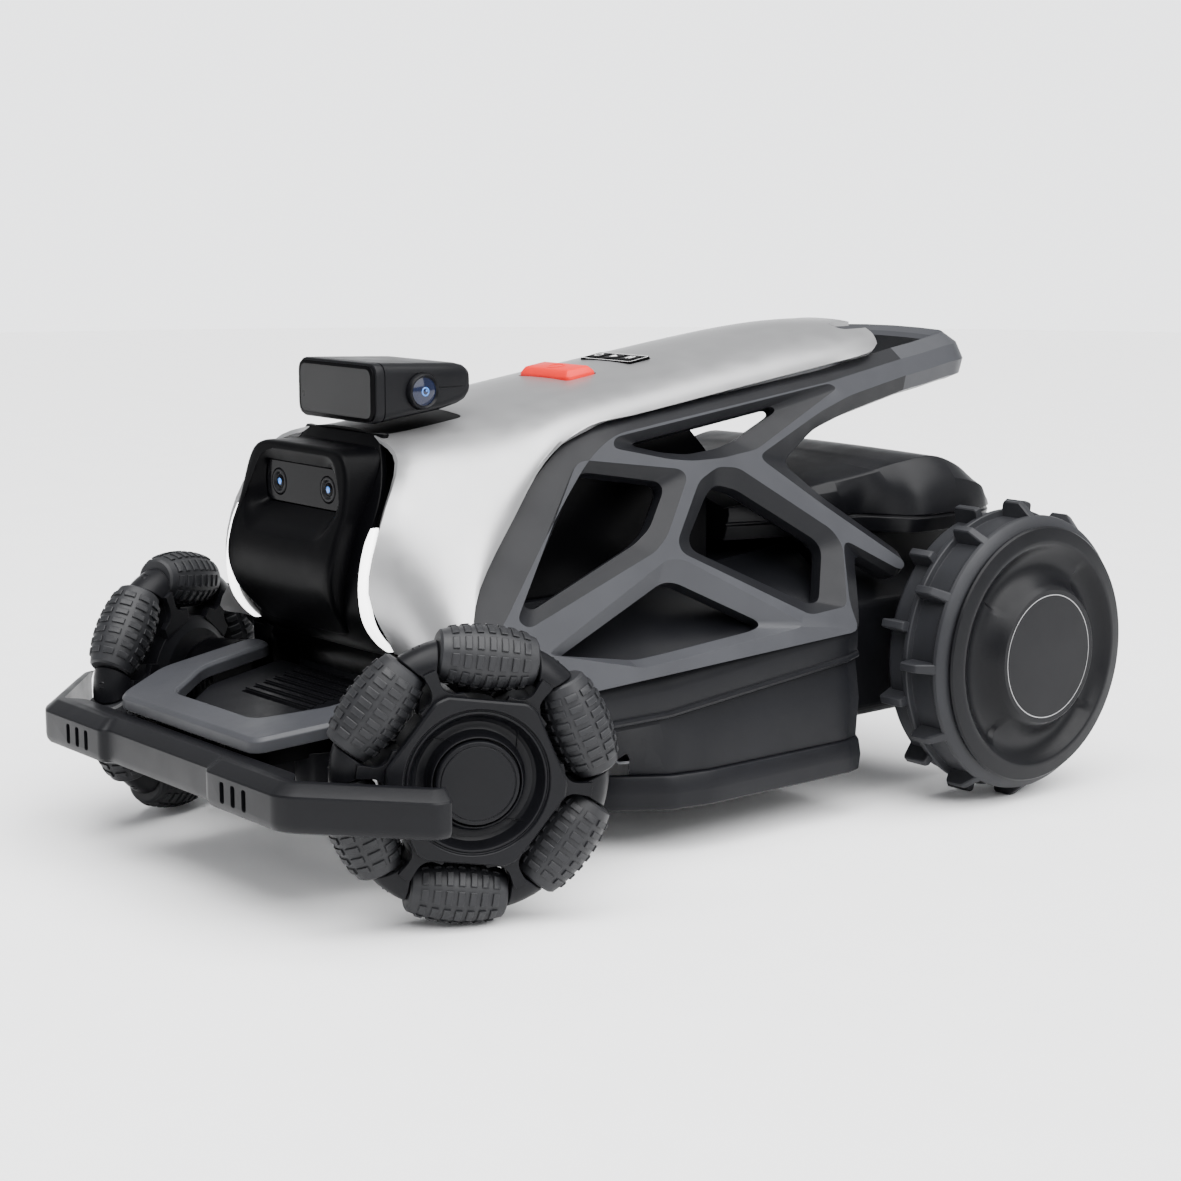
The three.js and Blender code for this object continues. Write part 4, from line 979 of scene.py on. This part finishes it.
def deck_lower():
    """The cutting deck's wall and the skirt round its foot, both open underneath."""
    walls, wells, rims, bores = [], [], [], []
    for y, high, low in deck_stations(RIM_START):
        top = bead_height(y)
        walls.append(both_sides([(low - 1, 58.4), (low + (high - low) * 0.5 + 1.5, (58.4 + top) / 2),
                                 (high - 2.6, top - 3), (high - 3.4, top)], y))
        rims.append(both_sides([(low + dx, z) for dx, z in (
            (0.6, 33), (2.6, 34.4), (4.4, 45), (4.4, 46.4), (2.6, 55.4), (1.6, 57.4), (0, 58))], y))
    for y, high, low in DECK_PLAN:
        if y < RIM_START:
            continue
        inner_y = min(max(y, RIM_START + 4), HOLLOW_END)
        wells.append(both_sides([(low - 4, 40), (high - 6, bead_height(y) - 5)], inner_y))
        bores.append(both_sides([(low - 4, 20), (low - 4, 80)], inner_y))
    wall = fixed("deck_wall", loft(walls), DECK_GREY, ("deck_housing",), "graphite_plastic", bevel=0.6,
                 smooth=26)
    boolean(wall, loft(wells))
    boolean(wall, moved(prism(rectangle(150, 150, 20, 6), 0, 200), shift(0, 262, 0)))
    rim = fixed("deck_skirt", loft(rims), DECK_GREY, ("deck_rim",), bevel=0.5, smooth=26)
    boolean(rim, loft(bores))


HOOD_PLAN = [  # (y, lip half-width, crease half-width, crease height, middle height)
    (318, 76, 70, 226, 238), (360, 90, 84, 233, 243), (398, 98, 98, 240, 248), (430, 101, 108, 246, 252),
    (446, 124, 114, 250, 254), (458, 138, 119, 253, 256), (488, 141, 124, 256, 258),
    (512, 141, 126, 248, 250), (532, 138, 122, 236, 238), (546, 130, 112, 218, 219),
]


def rear_hood():
    tracks = [spline([(row[0], row[i], row[j]) for row in HOOD_PLAN], 45) for i, j in ((1, 2), (3, 4))]
    rings = []
    for a, b in zip(*tracks):
        y, lip, crease, edge, middle = a.x, a.y, a.z, b.y, b.z
        side_x, side_z = (lip + crease) / 2 + 4, (214 + edge) / 2 + 6
        rings.append(both_sides([
            (lip - 4, 200.8), (lip - 0.6, 211.6), (lip - 1.8, 212.4), (lip - 1.8, 213.8), (lip, 214.6),
            (lip * 0.5 + side_x * 0.5 + 1, (214 + side_z) / 2 + 0.5), (side_x, side_z),
            (crease + 0.6, edge - 1.2), (crease - 1.6, edge + 0.3),
            (crease * 0.66, edge * 0.45 + middle * 0.55), (crease * 0.33, edge * 0.15 + middle * 0.85),
            (0, middle)], y))
    fixed("hood_shell", loft(rings), CHARCOAL, ("rear_hood",), bevel=0.7, smooth=30)


def drive_housing():
    """The box between the drive wheels, cut to its front outline, with two seams and four ribs behind."""
    side = rounded([(392, 62), (526, 62), (540, 82), (540, 200), (392, 200)], 10, 5)
    front = rounded([(-120, 62), (120, 62), (128, 70), (128, 150), (100, 174), (100, 200), (-100, 200),
                     (-100, 174), (-128, 150), (-128, 70)], 5, 4)
    housing = fixed("drive_body", prism(side, -128, 128, "YZX"), CHARCOAL, ("drive_housing",),
                    bevel=1.4, segments=3, smooth=26)
    boolean(housing, prism(front, 300, 600, "XZY"), "INTERSECT")
    for z in (96, 168):
        boolean(housing, frame_box(-88, 88, 536.5, 560, z, z + 1.6))
    rib = prism(rectangle(84, 5, 2.2, 3), -1.2, 1.6, "XZY")
    fixed("drive_ribs", combine(*[moved(rib, shift(0, 540, 118 + 11 * k)) for k in range(4)]), BLACK,
          bevel=0.5)


deck_upper()
deck_lower()
rear_hood()
drive_housing()


# ---------------------------------------------------------------- omni wheels
WHEEL_R = 97.0
RING_R = 75.0
ROLLER_HALF = 31.5
ROLLER_INSET = 0.9
ROLLER_COUNT = 6
ROLLER_STEP = 2 * math.pi / ROLLER_COUNT
ROLLER_PHASE = math.radians(8)
ARM_PHASE = math.radians(38)
TOE = math.radians(25)


def wheel_seat(side):
    base = shift(184.7, 0, 97) @ spin(-TOE, "Z")
    return MIRROR @ base if side < 0 else base


def roller_radius(along):
    return math.sqrt(WHEEL_R ** 2 - along ** 2) - RING_R - ROLLER_INSET


def tread_block(a0, a1, t0, t1, height=1.05, chamfer=0.45):
    """A raised brick on a barrel: curved round the roller and following its crown."""
    steps = 3
    rings = []
    for level, inset in ((-height - 0.5, 0.0), (-chamfer * 0.6, 0.0), (0.0, chamfer)):
        ring = []
        grow = inset / 21.0
        corners = [(a0 + grow, t0 + inset), (a1 - grow, t0 + inset), (a1 - grow, t1 - inset),
                   (a0 + grow, t1 - inset)]
        for (u0, v0), (u1, v1) in zip(corners, corners[1:] + corners[:1]):
            for k in range(steps):
                u, v = u0 + (u1 - u0) * k / steps, v0 + (v1 - v0) * k / steps
                r = roller_radius(v) + level
                ring.append((r * math.sin(u), v, r * math.cos(u)))
        rings.append(ring)
    verts, faces = loft(rings, caps=False)
    top = len(verts) - len(rings[-1])
    lid = [(0, 1, 10, 11), (1, 2, 9, 10), (2, 3, 8, 9), (3, 4, 5, 6, 7, 8)]
    return verts, faces + [tuple(top + i for i in face) for face in lid]


def roller_mesh():
    """A crowned barrel with pin sockets in its ends and rows of blocks all round."""
    rows, blocks, pitch, groove = 10, 7, 7.6, 1.2
    shoulder = roller_radius(ROLLER_HALF) - 2.6
    ends = [(25.5, 0), (25.5, 5.2), (30.6, 5.2), (ROLLER_HALF, 6.2), (ROLLER_HALF, shoulder)]
    crown = [-30.2 + 60.4 * k / 12 for k in range(13)]
    profile = [(-x, r) for x, r in ends] + [(x, roller_radius(x) - groove) for x in crown] + ends[::-1]
    parts = [moved(revolve(profile, 48), spin(math.pi / 2, "Z"))]
    span = 2 * math.pi / rows
    for row in range(rows):
        for k in range(blocks):
            middle = (k - (blocks - 1) / 2) * pitch
            parts.append(tread_block((row + 0.14) * span, (row + 0.86) * span, middle - 2.1, middle + 2.1))
    return combine(*parts)


def shaped_turn(profile, segments):
    """A turned solid about X whose (x, radius) pairs may be functions of the angle."""
    rings = []
    for x, r in profile:
        ring = []
        for k in range(segments):
            angle = 2 * math.pi * k / segments
            px = x(angle) if callable(x) else x
            pr = r(angle) if callable(r) else r
            ring.append((px, pr * math.sin(angle), pr * math.cos(angle)))
        rings.append(ring)
    return loft(rings)


def hexagon(apothem, corner):
    """Radius of a round-cornered hexagon whose corners lie between the rollers."""
    def radius(angle):
        turn = (angle - ARM_PHASE) % (math.pi / 3)
        off = min(turn, math.pi / 3 - turn)
        flat = apothem / math.cos(math.pi / 6 - off)
        return min(flat, corner + 1.6 * math.cos(6 * off) * 0.4)
    return radius


def fan(base, rise, phase=0.35, blades=4):
    def height(angle):
        share = ((angle + phase) / (2 * math.pi) * blades) % 1
        return base + rise * share
    return height


def arm_tube():
    """The bent tube between two rollers, cut off square to each of them."""
    rings = []
    for share, tube in ((-1, 13.6), (-0.9, 14.4), (-0.5, 14.6), (0, 14.6), (0.5, 14.6), (0.9, 14.4),
                        (1, 13.6)):
        ring = []
        for k in range(21):
            turn = math.radians(-128 + 12.8 * k)
            r = RING_R + tube * math.cos(turn)
            y = share * ((r * 0.5 - ROLLER_HALF - 1.0) / math.cos(math.pi / 6))
            ring.append((tube * math.sin(turn), y, math.sqrt(r * r - y * y)))
        rings.append(ring)
    return loft(rings)


def hub_arm(angle):
    """One arm: a bent tube between two rollers, a web under it, two flared cheeks and two pins."""
    flare = [(15, 54.4), (8.4, 56.4), (5.4, 59), (3.9, 62), (3.5, 65), (3.8, 69), (4.2, 72), (4.2, 75)]
    cheek = [(-y, z) for y, z in flare] + [(y, z) for y, z in reversed(flare)] + [(15, 46), (-15, 46)]
    parts = [arm_tube()] + [prism(cheek, x - 2.4, x + 2.4, "YZX") for x in (-15, 15)]
    web = [(-14, 47), (-9, 56), (-4.5, 60.5), (-2.2, 62.5), (-1.4, 68)]
    parts.append(prism(web + [(-y, z) for y, z in reversed(web)], -14.5, 14.5, "YZX"))
    pin = moved(revolve([(0, 0), (0, 4), (15, 4), (15, 0)], 16), spin(math.pi / 2, "Z"))
    tilt = spin(math.pi / 6, "X")
    for spot in (spin(math.pi, "Z") @ tilt, tilt):
        parts.append(moved(pin, spot @ shift(0, ROLLER_HALF - 3, RING_R)))
    return moved(combine(*parts), spin(-angle, "X"))


def omni_hub():
    hex_edge = hexagon(52.0, 57.0)
    profile = [
        (-20, 8), (-20, 40), (-17, 46), (-16, 49), (14.8, 49), (15.0, hex_edge), (20.8, hex_edge),
        (22, lambda a: hex_edge(a) - 1.3), (22, 46.9), (21.5, 46.3), (20.3, 45.9), (20.0, 45.3),
        (20.6, 44.7), (20.9, 44.3), (20.9, 43.4), (20.2, 42.9), (18.6, 42.2), (15.6, 41.0), (13.2, 39.2),
        (12.0, 36.9), (11.9, 34.5), (12.8, 32.2), (14.8, 30.6), (17.6, 29.7), (20.8, 29.3), (21.5, 28.9),
        (21.5, 28.3), (20.9, 27.9), (18, 27.7), (18, 26.9), (22.8, 26.6), (23.7, 26.2), (24, 25.4),
        (24, 24.2), (23.5, 24.0), (23.5, 23.5), (24, 23.3), (24, 0.4),
    ]
    parts = [shaped_turn(profile, 144)]
    for k in range(4):
        rings = []
        for x, r in ((17, 41.8), (14.6, 40), (13, 37.5), (12.7, 34.8), (13.6, 32.2), (16.2, 30.4),
                     (19, 29.6)):
            turn = math.radians(40 + 90 * k) + 0.028 * (42 - r)
            rings.append([(x + dx, r * math.sin(turn + da), r * math.cos(turn + da))
                          for dx, da in ((-3, -0.02), (0, -0.012), (0, 0.012), (-3, 0.02))])
        parts.append(loft(rings))
    parts += [hub_arm(ARM_PHASE + k * ROLLER_STEP) for k in range(ROLLER_COUNT)]
    return combine(*parts)


def front_wheels():
    hub, tread = omni_hub(), roller_mesh()
    motor = revolve([(-80, 0), (-80, 18), (-79, 22), (-74.6, 29), (-71, 31.4), (-60, 34), (-58.8, 34.6),
                     (-57.4, 34.6), (-56.2, 34), (-32, 34), (-30, 33.6), (-24.4, 30), (-24.4, 9), (6, 9),
                     (6, 0)], 72)
    for name, side in SIDES:
        place = wheel_seat(side)
        finish_mesh(f"omni_hub_{name}", hub, CHARCOAL, f"front_wheel_{name}", (f"front_hub_{name}",),
                    "charcoal_plastic", place, bevel=0.7, smooth=24)
        for k in range(ROLLER_COUNT):
            angle = ROLLER_PHASE + k * ROLLER_STEP
            spot = place @ shift(0, RING_R * math.sin(angle), RING_R * math.cos(angle)) @ spin(-angle, "X")
            body = f"roller_{name}_{k + 1}"
            finish_mesh(f"roller_tread_{name}_{k + 1}", tread, RUBBER, body, (body,), "tread_rubber", spot,
                        smooth=30)
        fixed(f"hub_motor_{name}", motor, BLACK, (f"front_motor_{name}",), "motor_black", place=place,
              smooth=24)


# ---------------------------------------------------------------- drive wheels
LUG_COUNT = 12


def axle(side):
    base = shift(0, 508, 113)
    return MIRROR @ base if side < 0 else base


def lug(x0, x1, slope):
    def section(top, half):
        return [(-4.8, 99), (-4.0, 102.4), (-half, top - 1.0), (-half + 0.9, top), (half - 0.9, top),
                (half, top - 1.0), (4.0, 102.4), (4.8, 99)]
    rows = [(x0, 111.6, 2.9), (x0 + 1.2, 113, 3.2), (x1 - 1.0, 113, 3.3), (x1 + 0.8, 112, 3.3)]
    rows.append((x1 + slope, 103.4, 3.7) if slope else (x1 + 1.2, 110, 3.1))
    return loft([[(x, y, z) for y, z in section(top, half)] for x, top, half in rows])


def tyre_mesh():
    """The carcass with two rows of lugs, one row half a step behind the other."""
    carcass = revolve([(154, 81), (154, 90), (154.6, 95), (156.6, 99.6), (159.5, 101.5), (174.9, 101.5),
                       (175.7, 105.6), (176.4, 106.2), (179.6, 106.2), (180.3, 105.6), (181.1, 101.5),
                       (202.2, 101.5), (203.2, 103.8), (204.2, 104.2), (206.6, 103.6), (208, 102.2),
                       (209.4, 99.4), (211.2, 96), (212, 92), (212, 81), (154, 81)], 144)
    parts = [carcass]
    for k in range(LUG_COUNT):
        turn = 2 * math.pi * k / LUG_COUNT
        parts.append(moved(lug(179, 195, 11.6), spin(turn, "X")))
        parts.append(moved(lug(156.4, 176.8, 0), spin(turn + math.pi / LUG_COUNT, "X")))
    return combine(*parts)


def rim_mesh():
    dish = [(217.2, 83.2, 0), (213.6, 80, 0.3), (210, 76, 0.8), (208, 71, 1), (208.4, 66, 1),
            (211.4, 61, 0.8), (216, 57, 0.3), (221, 54, 0), (225, 51.8, 0)]
    return shaped_turn([
        (160, 10), (160, 29), (161, 31), (166, 34), (166, 70), (158.4, 79.6), (158.4, 80.6), (212.4, 80.6),
        (212.4, 95), (213, 96.4), (214.6, 96.8), (216, 95.6), (217.5, 87), (217.7, 84.4),
        *[(fan(x, 3 * share, 0.9), r) for x, r, share in dish], (226, 50.4), (226, 47.0), (225.5, 46.7),
        (225.5, 46.2), (226, 45.9), (226.2, 20), (226.2, 0.5)], 144)


def rear_wheels():
    tyre, rim = tyre_mesh(), rim_mesh()
    mark = revolve([(225.3, 46.9), (225.75, 46.75), (225.75, 46.15), (225.3, 46.0)], 120)
    gear = revolve([(20, 0), (20, 20), (21.4, 22), (79, 22), (80.4, 26.4), (82, 27), (120, 27), (122, 25.4),
                    (122, 20), (145, 20), (146, 19), (146, 9), (190, 9), (190, 0)], 48)
    for name, side in SIDES:
        body, place = f"rear_wheel_{name}", axle(side)
        finish_mesh(f"tyre_{name}", tyre, TYRE, body, (f"rear_tyre_{name}",), "tread_rubber", place,
                    bevel=0.35, smooth=30)
        finish_mesh(f"rim_{name}", rim, CHARCOAL, body, (body,), "charcoal_plastic", place, smooth=30)
        finish_mesh(f"rim_ring_{name}", mark, SILVER, body, slot="silver_plastic", place=place, smooth=20)
        fixed(f"drive_motor_{name}", gear, STEEL, (f"gear_motor_{name}",), "motor_steel", place=place,
              smooth=26)


front_wheels()
rear_wheels()


# ---------------------------------------------------------------- pieces kept from the frame
KEPT = {
    "body_tub": BLACK, "lift_carriage": CHARCOAL, "blade_motor": STEEL, "cutting_disc": BLACK,
    "blade_1": STEEL, "blade_2": STEEL, "blade_3": STEEL, "battery_pack": MOTOR, "control_board": BOARD,
}
for node_name, finish in KEPT.items():
    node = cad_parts[node_name]
    for index in range(len(node.data.materials)):
        node.data.materials[index] = finish
    edge = node.modifiers.new("edges", "BEVEL")
    edge.width = 0.0006
    edge.segments = 2
    edge.limit_method = "ANGLE"


# ---------------------------------------------------------------- floor, light and camera
def floor():
    mesh = bpy.data.meshes.new("floor")
    mesh.from_pydata([(x, y, -0.0002) for y, x in circle(6.0, 96)], [], [tuple(range(96))])
    mesh.materials.append(material("floor_paper", (0.86, 0.86, 0.865), 0.7, vary=0.01, grain=300, bump=0.02))
    linked("floor", mesh)


def area_light(name, where, target, size, power):
    light = bpy.data.lights.new(name, "AREA")
    light.shape = "RECTANGLE"
    light.size, light.size_y = size
    light.energy = power
    lamp = linked(name, light)
    lamp.location = where
    lamp.rotation_euler = (Vector(where) - Vector(target)).to_track_quat("Z", "Y").to_euler()


def sky():
    """A dim sky that is bright only behind the machine and near the ground."""
    world = bpy.data.worlds.new("studio")
    world.use_nodes = True
    tree = world.node_tree
    nodes, links = tree.nodes, tree.links
    coords = nodes.new("ShaderNodeTexCoord").outputs["Generated"]
    facing = nodes.new("ShaderNodeVectorMath")
    facing.operation = "DOT_PRODUCT"
    facing.inputs[1].default_value = (-0.772, 0.636, 0)
    split = nodes.new("ShaderNodeSeparateXYZ")
    links.new(coords, facing.inputs[0])
    links.new(coords, split.inputs["Vector"])
    strength = nodes.new("ShaderNodeMath")
    strength.operation = "MULTIPLY_ADD"
    strength.inputs[2].default_value = 0.7
    links.new(map_range(tree, facing.outputs["Value"], (0.74, 0.93), (0, 2.3)), strength.inputs[0])
    links.new(map_range(tree, split.outputs["Z"], (0.1, 0.22), (1, 0)), strength.inputs[1])
    background = nodes["Background"]
    background.inputs["Color"].default_value = (0.97, 0.98, 1.0, 1)
    links.new(strength.outputs["Value"], background.inputs["Strength"])
    bpy.context.scene.world = world


def studio():
    """A soft overhead sun and two large soft lights."""
    sky()
    sun = bpy.data.lights.new("overhead", "SUN")
    sun.energy = 9.0
    sun.angle = math.radians(75)
    linked("overhead", sun).rotation_euler = Vector((0.42, 0.0, 0.9)).to_track_quat("Z", "Y").to_euler()
    area_light("front", (0.1, -1.3, 2.4), (0, -0.3, 0.1), (1.6, 1.2), 40)
    area_light("side", (2.8, 0.5, 1.5), (0, 0, 0.2), (2.0, 1.6), 42)


def camera():
    azimuth, elevation = math.radians(50.5), math.radians(9.9)
    back = Vector((math.sin(azimuth) * math.cos(elevation), -math.cos(azimuth) * math.cos(elevation),
                   math.sin(elevation)))
    data = bpy.data.cameras.new("camera")
    data.lens = 70.72
    data.sensor_width = 36.0
    eye = linked("camera", data)
    eye.location = (1.32066, -1.08804, 0.460)
    eye.rotation_euler = back.to_track_quat("Z", "Y").to_euler()
    bpy.context.scene.camera = eye


floor()
studio()
camera()
